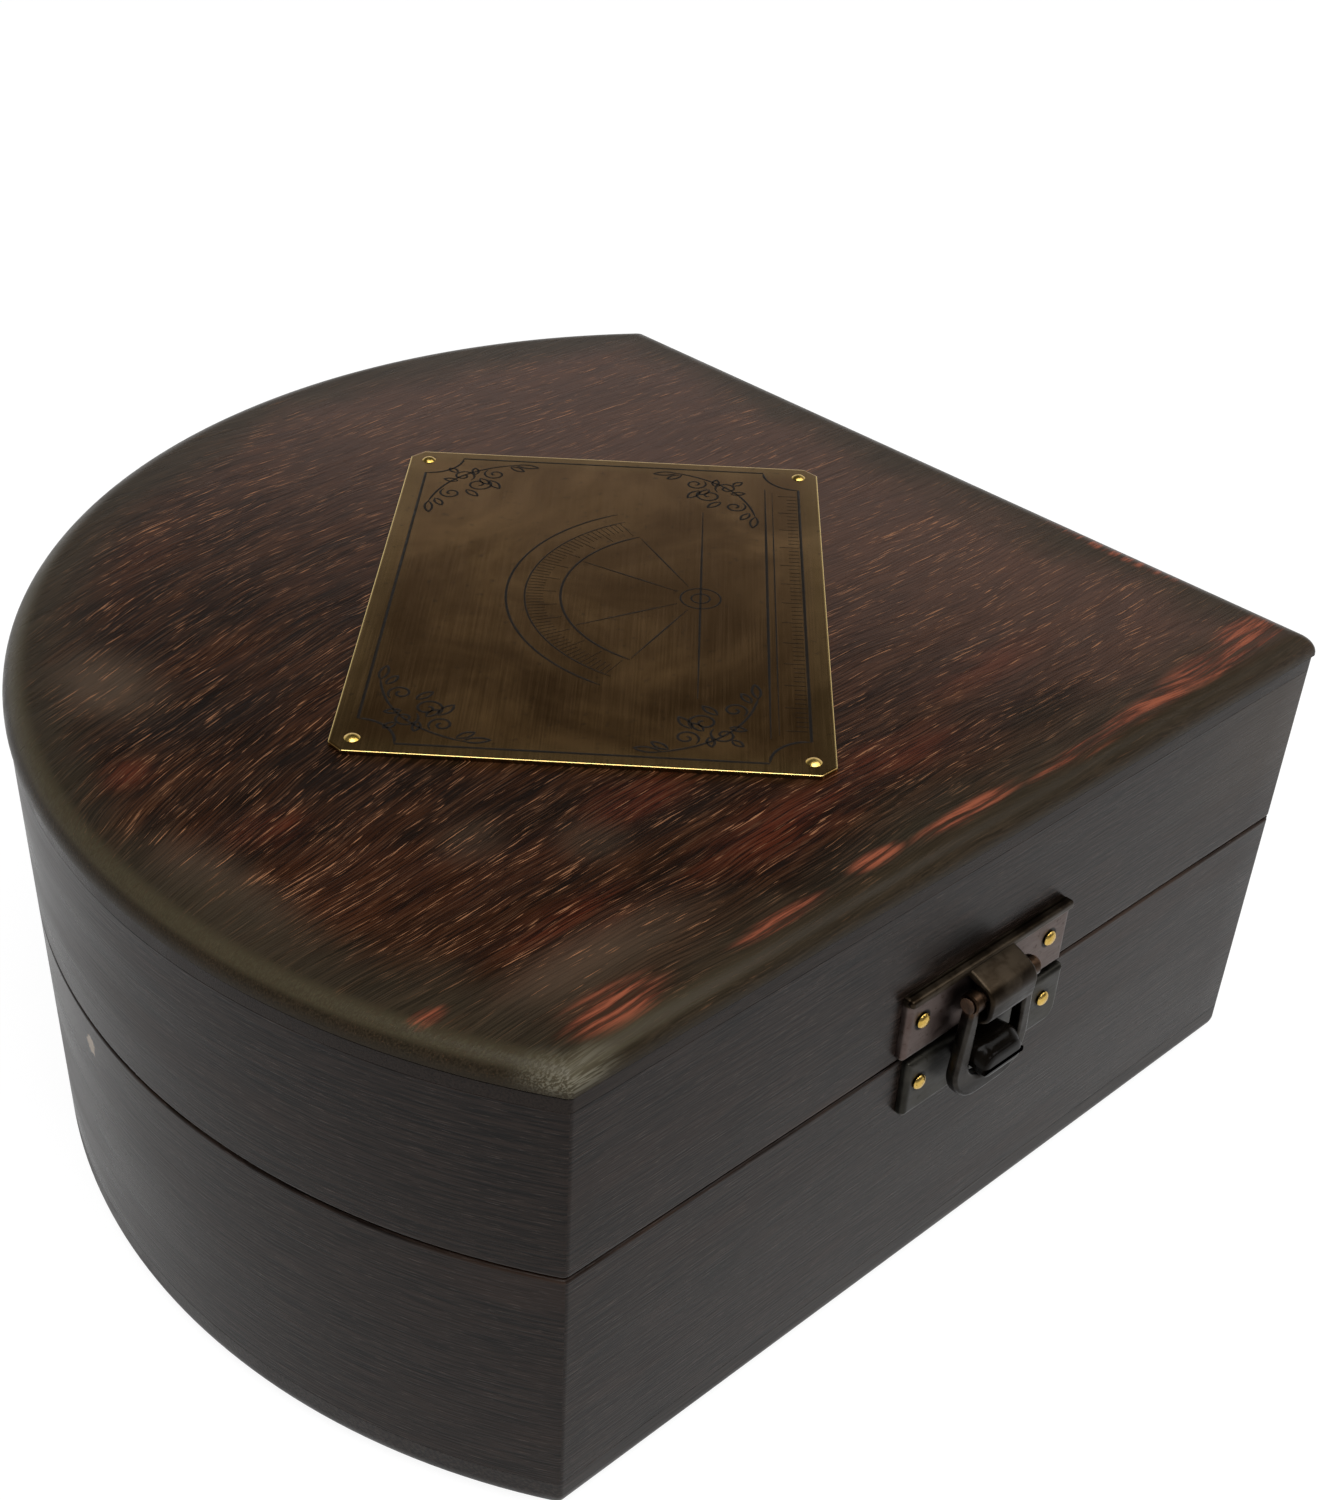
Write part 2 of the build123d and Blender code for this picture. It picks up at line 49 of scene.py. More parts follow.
# %% [markdown]
# ## The camera
# The photograph was taken from above the near corner. The eye point, the direction and the small roll were worked
# out from the straight edges and from the round edge of the case, so the camera is given as these numbers and not
# placed by hand. The lens shift stands for the way the picture was cropped.

# %% Camera
EYE = Vector((-166.83, -155.32, 196.13)) * MM
EYE_TURN, EYE_TILT, EYE_ROLL = radians(-42.899), radians(90 - 36.604), radians(1.881)

camera = bpy.data.objects.new("camera", bpy.data.cameras.new("camera"))
camera.data.lens = 48.445
camera.data.shift_x, camera.data.shift_y = 0.04294, 0.0654
camera.data.clip_start, camera.data.clip_end = 0.01, 20
camera.matrix_world = (
    Matrix.Translation(EYE)
    @ Matrix.Rotation(EYE_TURN, 4, "Z")
    @ Matrix.Rotation(EYE_TILT, 4, "X")
    @ Matrix.Rotation(EYE_ROLL, 4, "Z")
)
bpy.context.collection.objects.link(camera)
bpy.context.scene.camera = camera
bpy.context.scene.view_settings.view_transform = "Standard"
print("camera looks along", [round(c, 3) for c in -camera.matrix_world.col[2].xyz])

# %% [markdown]
# ## Shader maths as Python
# A finish is a network of nodes. Wiring it node by node hides the idea, so one small class wraps a socket and turns
# +, - and * into Math nodes. A second class holds a material and makes every other node with one method. Its patterns
# read positions in millimetres, so a mask is written with the same sizes as the shapes.

# %% A socket that can be calculated with


class Wire:
    """One output socket. Arithmetic on it adds Math nodes to its finish."""

    def __init__(self, finish, socket):
        self.finish, self.socket = finish, socket

    def maths(self, operation, *values):
        return self.finish.node("Math", {"operation": operation}, dict(enumerate(values)))

    def __add__(self, other):
        return self.maths("ADD", self, other)

    def __mul__(self, other):
        return self.maths("MULTIPLY", self, other)

    def __sub__(self, other):
        return self.maths("SUBTRACT", self, other)

    def __rsub__(self, other):
        return self.maths("SUBTRACT", other, self)

    __radd__, __rmul__ = __add__, __mul__

    def least(self, other):
        return self.maths("MINIMUM", self, other)

    def most(self, other):
        return self.maths("MAXIMUM", self, other)

    def size(self):
        """The value without its sign."""
        return self.maths("ABSOLUTE", self)

    def ease(self, start, end, first=0.0, last=1.0):
        """Goes smoothly from first to last while the value goes from start to end. The start may be the larger."""
        return self.finish.node(
            "MapRange",
            {"interpolation_type": "SMOOTHSTEP"},
            {"Value": self, "From Min": start, "From Max": end, "To Min": first, "To Max": last},
        )


print("sums that a wire understands:", [name for name in vars(Wire) if name.startswith("__")][2:])

# %% A material with one method for every node


class Finish:
    """A material, or the world, whose nodes are all made by node()."""

    def __init__(self, name, owner=None):
        self.owner = owner or bpy.data.materials.new(name)
        self.owner.use_nodes = True
        self.tree = self.owner.node_tree
        self.tree.nodes.clear()

    def node(self, kind, settings=None, sockets=None, out=0):
        """Makes a node, sets its settings first, then fills its sockets with values or links. Gives the output that
        out names, or the list of all of them when out is None."""
        made = self.tree.nodes.new("ShaderNode" + kind)
        for key, value in (settings or {}).items():
            setattr(made, key, value)
        for key, value in (sockets or {}).items():
            if isinstance(value, Wire):
                self.tree.links.new(value.socket, made.inputs[key])
            else:
                made.inputs[key].default_value = value
        if out is None:
            return [Wire(self, socket) for socket in made.outputs]
        return Wire(self, made.outputs[out])

    def vector(self, operation, first, second, out=0):
        return self.node("VectorMath", {"operation": operation}, {0: first, 1: second}, out)

    def parts(self, vector):
        """The three numbers of a vector."""
        return self.node("SeparateXYZ", None, {0: vector}, None)

    def millimetres(self, metres):
        return self.vector("MULTIPLY", metres, (1 / MM,) * 3)

    @cached_property
    def place(self):
        """Object coordinates in millimetres, which all patterns of one finish share."""
        return self.millimetres(self.node("TexCoord", out="Object"))

    def reach(self, middle, stretch):
        """Length of (place - middle) x stretch: 1 on the skin of an ellipsoid with half axes 1 / stretch."""
        away = self.vector("SUBTRACT", self.place, middle)
        return self.vector("LENGTH", self.vector("MULTIPLY", away, stretch), (0, 0, 0), 1)

    def noise(self, cells, place=None, detail=3.0, rough=0.55, warp=0.0):
        """Cloudy noise from 0 to 1. cells is how many there are in a millimetre: one number, or one for each axis."""
        cells = [float(count) for count in np.broadcast_to(cells, 3)]
        stretched = self.vector("MULTIPLY", place or self.place, cells)
        sockets = {"Vector": stretched, "Scale": 1.0, "Detail": detail, "Roughness": rough, "Distortion": warp}
        return self.node("TexNoise", None, sockets)

    def rays(self):
        """Whether a ray comes from the camera, from a reflection and through something clear: three wires."""
        return [self.node("LightPath", out=f"Is {way} Ray") for way in ("Camera", "Glossy", "Transmission")]

    def blend(self, share, first, second):
        """Mixes two colours, given as links or as three numbers."""
        first, second = (c if isinstance(c, Wire) else (*c, 1.0) for c in (first, second))
        return self.node("Mix", {"data_type": "RGBA"}, {0: share, 6: first, 7: second}, 2)

    def coats(self, colour, *coats):
        """Lays coats over a colour, one by one. Each is its mask and its own colour."""
        for mask, coat in coats:
            colour = self.blend(mask, colour, coat)
        return colour

    def dress(self, colour, rough, metal=0.0, bump=None, bump_depth=0.0, **constants):
        """Ends the network in a Principled shader. bump_depth is the height of the relief in millimetres."""
        sockets = {"Base Color": colour, "Roughness": rough, "Metallic": metal}
        if bump is not None:
            sockets["Normal"] = self.node("Bump", None, {"Strength": 1.0, "Distance": bump_depth * MM, "Height": bump})
        sockets.update({key.replace("_", " "): value for key, value in constants.items()})
        self.node("OutputMaterial", None, {"Surface": self.node("BsdfPrincipled", None, sockets)}, None)
        return self.owner


print("a finish can make:", [name for name in vars(Finish) if not name.startswith("_")])

# %% [markdown]
# ## Floor, light and sky
# The case stands on a white table in an evenly lit room. A mirror-like plate only looks like metal when it has
# something to reflect, so the room is bright behind the case and dim overhead. The lacquered lid then stays deep
# brown while the upright walls pick up the white table. The floor adds some light of its own where the camera or a
# reflection sees it, which keeps the shadow but lets it stay pale. The sky does the same: it is white behind the case
# from every side, while a reflection sees the dim room.

# %% Floor
FLOOR_HALF = 2.5
floor_mesh = bpy.data.meshes.new("floor")
floor_mesh.from_pydata(
    [(x * FLOOR_HALF, y * FLOOR_HALF, -0.0001) for x, y in ((-1, -1), (1, -1), (1, 1), (-1, 1))], [], [(0, 1, 2, 3)]
)
floor = bpy.data.objects.new("floor", floor_mesh)
bpy.context.collection.objects.link(floor)

paper = Finish("floor_paper")
camera_ray, glossy_ray, through_ray = paper.rays()
glowing = (camera_ray * 0.8).most(glossy_ray.most(through_ray) * 0.3)
matt = paper.node("BsdfDiffuse", None, {"Color": (0.86, 0.86, 0.86, 1)})
glow = paper.node("Emission", None, {"Color": (1, 1, 1, 1), "Strength": 1.13})
lit = paper.node("MixShader", None, {0: glowing, 1: matt, 2: glow})
below = paper.node("NewGeometry", out="Backfacing")
clear = paper.node("BsdfTransparent")
paper.node("OutputMaterial", None, {0: paper.node("MixShader", None, {0: below, 1: lit, 2: clear})}, None)
floor_mesh.materials.append(paper.owner)
print("floor:", 2 * FLOOR_HALF, "m")

# %% Sky and lamps
world = bpy.data.worlds.new("room")
bpy.context.scene.world = world
room = Finish("room", world)
direction = room.node("TexCoord", out="Generated")
height = room.parts(direction)[2]
behind = room.vector("DOT_PRODUCT", direction, (0.66, 0.75, 0.0), 1)
brightness = 0.055 + height.ease(0.16, 0.56, 0.93, 0.0) * behind.ease(-0.3, 0.75, 0.22, 1.0)
straight, mirrored, through = room.rays()
backdrop = straight.most(mirrored.most(through) * 0.06)
shade = room.node("Background", None, {"Color": (1, 1, 1, 1), "Strength": brightness.most(backdrop)})
room.node("OutputWorld", None, {"Surface": shade}, None)


def soft_lamp(name, spot, power, size):
    """A square lamp that faces the middle of the case."""
    lamp = bpy.data.objects.new(name, bpy.data.lights.new(name, "AREA"))
    lamp.data.energy, lamp.data.size = power, size
    spot = Vector(spot)
    lamp.location = spot
    lamp.rotation_euler = (Vector((0, 0, 0.03)) - spot).to_track_quat("-Z", "Y").to_euler()
    bpy.context.collection.objects.link(lamp)
    return lamp


lamps = [
    soft_lamp("lamp_overhead", (-0.35, -0.45, 1.45), 18.0, 1.1),
    soft_lamp("lamp_right", (0.7, -0.6, 1.3), 6.0, 0.9),
    soft_lamp("lamp_spark", (-0.55, -0.68, 1.05), 0.5, 0.06),
]
print("lamps:", [(lamp.name, lamp.data.energy) for lamp in lamps])

# %% [markdown]
# ## From grids of points to closed pieces
# Every new piece is a grid of points worked out with numpy: rows across the shape, columns along it. One helper
# numbers the four-sided faces of such a grid, one writes the mesh, merges the points that fall together, turns the
# faces outwards and marks only the real edges as sharp.

# %% Grid faces and mesh writing


def grid_faces(rows, columns, wrap_rows=False, wrap_columns=True):
    """Four corners of every cell of a rows x columns grid. A wrapped direction joins its last line to its first."""
    row = np.arange(rows if wrap_rows else rows - 1)[:, None]
    column = np.arange(columns if wrap_columns else columns - 1)[None, :]
    next_row, next_column = (row + 1) % rows, (column + 1) % columns
    here, ahead = row * columns, next_row * columns
    return np.stack([here + column, here + next_column, ahead + next_column, ahead + column], -1).reshape(-1, 4)


def shell(grid, wrap_rows=False, wrap_columns=True, capped=True):
    """Points and faces of a closed shell from a grid: ends that aren't wrapped get one flat face each, unless they
    already come to a point."""
    rows, columns = grid.shape[:2]
    faces = grid_faces(rows, columns, wrap_rows, wrap_columns).tolist()
    index = np.arange(rows * columns).reshape(rows, columns)
    if capped and not wrap_rows:
        faces += [index[0].tolist(), index[-1].tolist()]
    if capped and not wrap_columns:
        faces += [index[:, 0].tolist(), index[:, -1].tolist()]
    return grid.reshape(-1, 3), faces


def join(shells):
    """Several shells as one list of points and one of faces."""
    points, faces, start = [], [], 0
    for more, cells in shells:
        points.append(more)
        faces += [[start + i for i in cell] for cell in cells]
        start += len(more)
    return np.concatenate(points), faces


def make_piece(name, shape, body, finish, grain=None, sharp=38):
    """Writes a shape given in millimetres as a finished object that rides on a body. It stands for the solid that has
    its name, if there is one. grain holds distances in millimetres for a UV map."""
    points, faces = shape
    mesh = bpy.data.meshes.new(name)
    mesh.from_pydata((points * MM).tolist(), [], faces)
    if grain is not None:
        corner = np.empty(len(mesh.loops), int)
        mesh.loops.foreach_get("vertex_index", corner)
        mesh.uv_layers.new(name="grain").data.foreach_set("uv", (grain[corner] * MM).ravel())
    tidy = bmesh.new()
    tidy.from_mesh(mesh)
    bmesh.ops.remove_doubles(tidy, verts=tidy.verts, dist=2e-6)
    bmesh.ops.dissolve_degenerate(tidy, edges=tidy.edges, dist=1e-7)
    bmesh.ops.recalc_face_normals(tidy, faces=tidy.faces)
    tidy.to_mesh(mesh)
    tidy.free()
    mesh.polygons.foreach_set("use_smooth", np.ones(len(mesh.polygons), bool))
    mesh.set_sharp_from_angle(angle=radians(sharp))
    mesh.materials.append(finish)
    piece = bpy.data.objects.new(name, mesh)
    bpy.context.collection.objects.link(piece)
    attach(piece, body)
    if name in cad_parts:
        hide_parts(name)
    print(f"{name}: {len(mesh.polygons)} faces, {tuple(round(c / MM, 1) for c in piece.dimensions)} mm")
    return piece


def refinish(names, finish):
    """Gives solids of the packed model a new finish."""
    for name in names:
        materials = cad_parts[name].data.materials
        materials.clear()
        materials.append(finish)


# %% [markdown]
# ## The outline that all the woodwork follows
# The plan has two straight faces that meet at a right angle and one round wall about the origin. Moving the outline
# inwards keeps the corners on their mitres, so the same function draws the outside, the inside and each ring of a
# rounded edge. The three upright corners were sanded to a radius of about a millimetre.

# %% Plan outline
ARC, FACE = 91.0, 53.1
SANDED = 1.0
HALF_TURN = {"side": pi / 4, "round": acos(FACE / ARC) / 2}
BASE_TOP, LID_FOOT, TOP = 38.5, 38.8, 67.0
SEAM = (BASE_TOP + LID_FOOT) / 2
BOARD, WALL, EDGE_ROUND = 5.0, 8.0, 2.8


def polar(radius, angle):
    """Points radius x (cos a, sin a)."""
    return np.stack([radius * np.cos(angle), radius * np.sin(angle)], -1)


def unit(vectors):
    """Each vector divided by its length."""
    return vectors / np.maximum(np.linalg.norm(vectors, axis=-1, keepdims=True), 1e-9)


def left_of(vectors):
    """Each flat vector turned left by a quarter: (x, y) gives (-y, x)."""
    return np.stack([-vectors[..., 1], vectors[..., 0]], -1)


def plan_corners(inset):
    """The three corners, moved inwards: the faces lie at FACE - inset, and each one meets the circle of radius
    ARC - inset at a reach that is the root of radius squared minus face squared."""
    face = FACE - inset
    reach = np.sqrt((ARC - inset) ** 2 - face**2)
    return np.stack([-reach, -face], -1), np.stack([face, -face], -1), np.stack([face, reach], -1)


def on_plan(stretch, inset, t):
    """Points on one stretch of the outline. Straight: corner + t x (next corner - corner). Round: radius x
    (cos a, sin a), with the angle a going evenly from one corner's to the other's."""
    inset, t = np.broadcast_arrays(np.asarray(inset, float), np.asarray(t, float))
    left, right, back = plan_corners(inset)
    if stretch == "round":
        start, end = np.arctan2(back[..., 1], back[..., 0]), np.arctan2(left[..., 1], left[..., 0]) + tau
        return polar(ARC - inset, start + t * (end - start))
    first, last = (left, right) if stretch == "front" else (right, back)
    return first + t[..., None] * (last - first)


ENDS = {"front": ("round", "side"), "side": ("side", "round"), "round": ("round", "round")}
LENGTH = {
    stretch: float(np.linalg.norm(np.diff(on_plan(stretch, 0, np.linspace(0, 1, 400)), axis=0), axis=-1).sum())
    for stretch in ENDS
}


def columns_of(stretch, count):
    """Where a stretch's columns stand (t from 0 to 1) and how far each is sanded back. On a sanded corner the distance
    to the corner is L - r sin a and the cut is r (1 - cos a), with L = r tan(half the turn)."""
    ends = []
    for corner in ENDS[stretch]:
        half = HALF_TURN[corner]
        a = np.linspace(half, 0, 5)
        cut = SANDED * (1 - np.cos(a))
        mitre = (np.tan(half) - np.sin(half)) / (1 - np.cos(half))
        ends.append(((SANDED * (np.tan(half) - np.sin(a)) - mitre * cut) / LENGTH[stretch], cut))
    (start, start_cut), (end, end_cut) = ends
    middle = np.linspace(start[-1], 1 - end[-1], count)[1:-1]
    return np.concatenate([start, middle, 1 - end[::-1]]), np.concatenate([start_cut, 0 * middle, end_cut[::-1]])


print("stretches in mm:", {name: round(length, 1) for name, length in LENGTH.items()})

# %% [markdown]
# ## Sections with rounded corners
# A wall is a flat section carried along the outline. Each corner of the section gets a small radius, because an edge
# that is perfectly sharp never catches light. Two more points just past each radius keep the flats looking flat.

# %% Rounded sections


def rounded(corners, radii, steps=4, hold=0.25):
    """A closed path through the corners with each one turned on an arc: the arc starts r tan(turn / 2) before the
    corner. A point at the share hold of the radius past each arc keeps the straights straight."""
    corners, radii = np.asarray(corners, float), np.asarray(radii, float)
    back, ahead = unit(np.roll(corners, 1, 0) - corners), unit(np.roll(corners, -1, 0) - corners)
    half = np.arccos(np.clip((back * ahead).sum(1), -1, 1)) / 2
    turn = pi - 2 * half
    reach = radii / np.tan(half)
    middle, side = unit(back + ahead), unit(ahead - back)
    centre = corners + middle * (radii / np.sin(half))[:, None]
    angle = np.linspace(-0.5, 0.5, steps + 1)[None, :, None] * turn[:, None, None]
    arcs = centre[:, None] - radii[:, None, None] * (np.cos(angle) * middle[:, None] - np.sin(angle) * side[:, None])
    before = corners + back * (reach + hold * radii)[:, None]
    after = corners + ahead * (reach + hold * radii)[:, None]
    return np.concatenate([before[:, None], arcs, after[:, None]], 1).reshape(-1, 2)


def way_round(path, start=0.0):
    """Distance along a closed path from its first point."""
    return start + np.concatenate([[0], np.cumsum(np.linalg.norm(np.diff(path, axis=0), axis=1))])


print("points in a wall section:", len(rounded([(0, 0), (0, 10), (8, 10), (8, 0)], [0.4] * 4)))

# %% [markdown]
# ## Stained and lacquered wood
# The lid was stained red-brown, then sprayed dark round its edges, so the middle glows and the rim looks nearly
# black-olive. Open pores show as short pale dashes along the grain, and on the edges the spray was rubbed through to
# the orange-red stain. Each of these is one coat with a mask made from position: distance to the edge of the plan,
# stretched noise for pores and figure, and a few soft ellipses where the real lid was rubbed.

# %% Masks for the lid
# Every spot is an ellipse on the lid: middle x, middle y, half length, half width.
RUBBED = [  # the spray is rubbed through on the edges
    (-64.0, -48.2, 9.5, 4.2), (-42.0, -49.4, 10.0, 1.7), (-26.4, -48.6, 6.0, 1.8), (-12.0, -49.3, 13.0, 1.9),
    (8.0, -50.0, 14.0, 1.8), (22.0, -49.3, 14.0, 2.4), (36.0, -48.5, 16.0, 3.6), (46.0, -47.2, 9.0, 4.8),
    (-79.6, -38.0, 4.0, 1.8), (51.0, -23.0, 2.4, 16.0),
]
GLOWING = [  # the red stain shows deep in the lid
    (-9.6, -36.6, 15.0, 5.5), (-38.7, -24.0, 11.0, 6.5), (-73.3, -3.1, 6.5, 4.5), (-79.8, 15.8, 5.0, 4.5),
    (-85.4, -16.4, 3.5, 2.5), (-30.0, -38.0, 22.0, 6.0), (14.0, -30.0, 16.0, 6.0), (-58.0, -36.0, 12.0, 5.0),
]
FAINTLY_HAZY = [(-57.9, -18.3, 6.5, 6.0), (-47.9, -26.5, 6.5, 5.5)]
HAZY = [(-84.0, -10.0, 8.0, 20.0), (-62.0, -42.0, 22.0, 7.0), (-72.0, 34.0, 10.0, 14.0)]  # the lacquer has clouded
SHADED = [(-66.0, 20.0, 14.0, 12.0), (-60.0, 2.0, 13.0, 10.0), (-30.0, -46.0, 14.0, 4.0), (12.0, -41.0, 12.0, 5.0)]
# pale hairlines of wear with a painted highlight on them, at the near corner of the rounded edge
HAIRS_AND_HIGHLIGHT_CORNER = (-73.9, -FACE, 8.0, 7.0)


def soft_spot(finish, spot):
    """1 in the middle of an ellipse and 0 on its rim."""
    x, y, half_length, half_width = spot
    return finish.reach((x, y, 0), (1 / half_length, 1 / half_width, 0)).ease(1.0, 0.15)


def most_of(finish, spots):
    """The strongest of several soft spots."""
    return reduce(Wire.most, [soft_spot(finish, spot) for spot in spots])


def edge_distance(finish):
    """Distance from the nearest edge of the plan: the least of the two faces' and the arc's."""
    x, y, _ = finish.parts(finish.place)
    return (y + FACE).least(FACE - x).least(ARC - finish.reach((0, 0, 0), (1, 1, 0)))


print("rubbed places on the lid:", len(RUBBED))

# %% Lid finish


def lid_finish():
    """Stain, then clouds, haze and pores, then the sprayed and rubbed rim, with a painted highlight on the shoulder of
    its rounded edge and painted shade at its foot. The grain runs along x, wanders, and bends away behind the round
    side by a share of the square of the distance."""
    wood = Finish("lid_stain")
    x, y, z = wood.parts(wood.place)
    wander = wood.noise((0.03, 0.04, 0.04), detail=2.0)
    past = (-20.0 - x).most(0.0)
    bend = past * past * y.ease(-40.0, 4.0, 0.0006, 0.0038)
    grain = wood.vector("ADD", wood.place, wood.node("CombineXYZ", None, {1: (wander - 0.5) * 5.0 + bend}))
    pores = wood.noise((0.22, 5.2, 5.2), grain, detail=2.0, rough=0.5)
    hairs = wood.noise((0.26, 5.2, 5.2), grain, detail=2.0)
    fine = wood.noise((0.12, 4.6, 4.6), grain, rough=0.6)
    streak = wood.noise((0.075, 1.5, 1.5), grain, detail=4.0, rough=0.6)
    figure = wood.noise((0.045, 0.24, 0.24), grain, detail=4.0, rough=0.65)
    cloud = wood.noise((0.026, 0.034, 0.034), rough=0.6, warp=0.4)

    right = (x + (y + FACE) * 0.4).ease(-22.0, 56.0)
    haze = (most_of(wood, FAINTLY_HAZY) * 0.35).most(most_of(wood, HAZY) * 0.75)
    clear = 1.0 - (right * 0.6).most(haze)
    colour = wood.coats(
        wood.blend(figure.ease(0.36, 0.66), (0.011, 0.0046, 0.002), (0.04, 0.0136, 0.0048)),
        (cloud.ease(0.5, 0.74) * 0.5, (0.062, 0.017, 0.0062)),
        (most_of(wood, GLOWING) * figure.ease(0.3, 0.62) * 0.7, (0.092, 0.0165, 0.006)),
        (right * 0.62, (0.108, 0.061, 0.045)),
        (most_of(wood, SHADED) * 0.8, (0.01, 0.0048, 0.0026)),
        (haze, (0.078, 0.053, 0.0345)),
        (fine.ease(0.46, 0.62) * clear * 0.85, (0.004, 0.002, 0.0012)),  # dark lines
        (fine.ease(0.46, 0.34) * clear * 0.5, (0.096, 0.046, 0.023)),  # pale lines
        (pores.ease(0.63, 0.72) * cloud.ease(0.28, 0.6, 0.35, 1.0), (0.33, 0.15, 0.072)),
    )

    edge = edge_distance(wood)
    sprayed = (edge + (wood.noise(0.045) - 0.5) * 18.0).ease(13.5, 2.0)
    # pale hairlines of wear with a painted highlight, laid on the olive spray near the near corner
    pale = wood.blend(hairs.ease(0.44, 0.6), (0.08, 0.07, 0.045), (0.21, 0.195, 0.145))
    olive = wood.blend(fine.ease(0.36, 0.66), (0.038, 0.029, 0.0175), (0.02, 0.015, 0.0088))
    olive = wood.blend(soft_spot(wood, HAIRS_AND_HIGHLIGHT_CORNER) * edge.ease(4.5, 0.5) * 0.85, olive, pale)
    rubbed = most_of(wood, RUBBED).ease(0.0, 0.9) * streak.ease(0.42, 0.62, 0.15, 1.0) * edge.ease(1.0, 2.4)
    red = wood.blend(streak.ease(0.46, 0.66), (0.12, 0.03, 0.017), (0.32, 0.092, 0.046))
    # painted highlight on the upper part of the rounded edge, with pale wear lines in it, paler towards the near
    # corner: this mask and the colour below
    shoulder_highlight = edge.ease(0.2, 0.8) * edge.ease(3.4, 1.4) * fine.ease(0.36, 0.64, 0.35, 1.0)
    worn = wood.blend(x.ease(-76.0, -36.0), (0.092, 0.078, 0.045), (0.034, 0.025, 0.0145))
    upright = wood.blend(fine.ease(0.4, 0.7), (0.025, 0.018, 0.0145), (0.011, 0.008, 0.0066))
    quirk = TOP - EDGE_ROUND
    colour = wood.coats(
        colour,
        (sprayed * 0.85, olive),
        (rubbed * 0.9, red),
        (z.ease(quirk + 1.3, quirk - 0.1) * 0.8, (0.025, 0.0185, 0.0105)),  # painted shade at the foot of the rounded edge
        # painted highlight with pale wear lines on the shoulder of the rounded edge
        (shoulder_highlight * 0.6, worn),
        (z.ease(quirk - 0.1, quirk - 0.35), upright),
    )
    rough = wood.noise((0.06, 0.26, 0.26)).ease(0.3, 0.7, 0.24, 0.34)
    relief = pores * 0.5 - fine * 0.5
    return wood.dress(colour, rough, bump=relief, bump_depth=0.04, IOR=1.5, Specular_IOR_Level=0.09)


lid_wood = lid_finish()
print("lid finish nodes:", len(lid_wood.node_tree.nodes))

# %% [markdown]
# ## The walls
# The walls got the full coat of dark spray, so they read as near-black wood with fine level lines of grain. What
# makes them look grey is the white table in the lacquer. The round wall needs its grain to follow the bend, so its
# pattern reads a UV map that holds the distance along the outline. The flat side walls are CAD solids, and there
# the same pattern reads position, with its axes put in a different order.

# %% Wall finish


def wall_finish(name, bent):
    """Level lines of grain. A bent pattern follows the outline; the other one reads position."""
    wood = Finish(name)
    x, y, z = wood.parts(wood.place)
    if bent:
        along = wood.millimetres(wood.node("UVMap", {"uv_map": "grain"}))
    else:
        along = wood.node("CombineXYZ", None, {0: y, 1: z, 2: x})
    lines = wood.noise((0.11, 2.7, 2.7), along, rough=0.6)
    hair = wood.noise((0.36, 5.6, 5.6), along, detail=2.0)
    band = wood.noise((0.014, 0.09, 0.09), along, rough=0.6)
    worn = (z - SEAM).size().ease(1.1, 0.2) * band.ease(0.42, 0.62)
    chip = wood.reach((-90.0, 13.4, 34.3), (0.26, 0.76, 0.62)) + (wood.noise(1.3) - 0.5) * 1.2
    shadow = wood.reach((-13.0, -FACE, 52.0), (0.12, 0.3, 0.26))
    colour = wood.coats(
        wood.blend(lines.ease(0.35, 0.66), (0.0035, 0.0022, 0.0016), (0.0225, 0.0142, 0.0108)),
        (band.ease(0.5, 0.75) * 0.5, (0.03, 0.0165, 0.0115)),
        (hair.ease(0.61, 0.71) * 0.5, (0.095, 0.07, 0.058)),
        (x.ease(20.0, 50.0) * z.ease(40.0, 52.0) * 0.7, (0.03, 0.0165, 0.007)),  # the lid's warm right end
        (worn * 0.5, (0.06, 0.034, 0.022)),  # along the seam
        (chip.ease(0.95, 0.75), (0.36, 0.29, 0.22)),  # bare wood in one small chip
        (shadow.ease(1.0, 0.2, 0.0, 0.85), (0.003, 0.0018, 0.0012)),  # painted shadow and reflection of the knuckle, above it
    )
    rough = band.ease(0.3, 0.7, 0.24, 0.34)
    relief = lines * 0.6 + hair * 0.4
    return wood.dress(colour, rough, bump=relief, bump_depth=0.06, IOR=1.5, Specular_IOR_Level=0.135)


wall_wood = wall_finish("wall_stain", bent=True)
refinish(["base_side_wall", "lid_side_wall"], wall_finish("side_wall_stain", bent=False))
print("wall finish nodes:", len(wall_wood.node_tree.nodes))

# %% Wall pieces


def raised(plan, heights):
    """Plan points with one height for each row."""
    return np.concatenate([plan, np.broadcast_to(np.reshape(heights, (-1, 1, 1)), (*plan.shape[:2], 1))], -1)


def wall(name, stretch, joint, seam, body, count):
    """A wall from its joint with the board to the seam: the section (inset, z) is carried along the outline, and the
    sanded cut of each column fades from the outside to the inside."""
    up = 1 if seam > joint else -1
    section = rounded([(0, joint), (0, seam), (WALL, seam), (WALL, joint)][::up], [0.04, 0.4, 0.3, 0.03][::up])
    t, cut = columns_of(stretch, count)
    inset = section[:, :1] + cut[None] * (1 - section[:, :1] / WALL)
    plan = on_plan(stretch, inset, t[None])
    grain = np.stack(np.broadcast_arrays(t[None] * LENGTH[stretch], way_round(section, section[0, 1])[:, None]), -1)
    shape = shell(raised(plan, section[:, 1]), wrap_rows=True, wrap_columns=False)
    return make_piece(name, shape, body, wall_wood, grain.reshape(-1, 2))


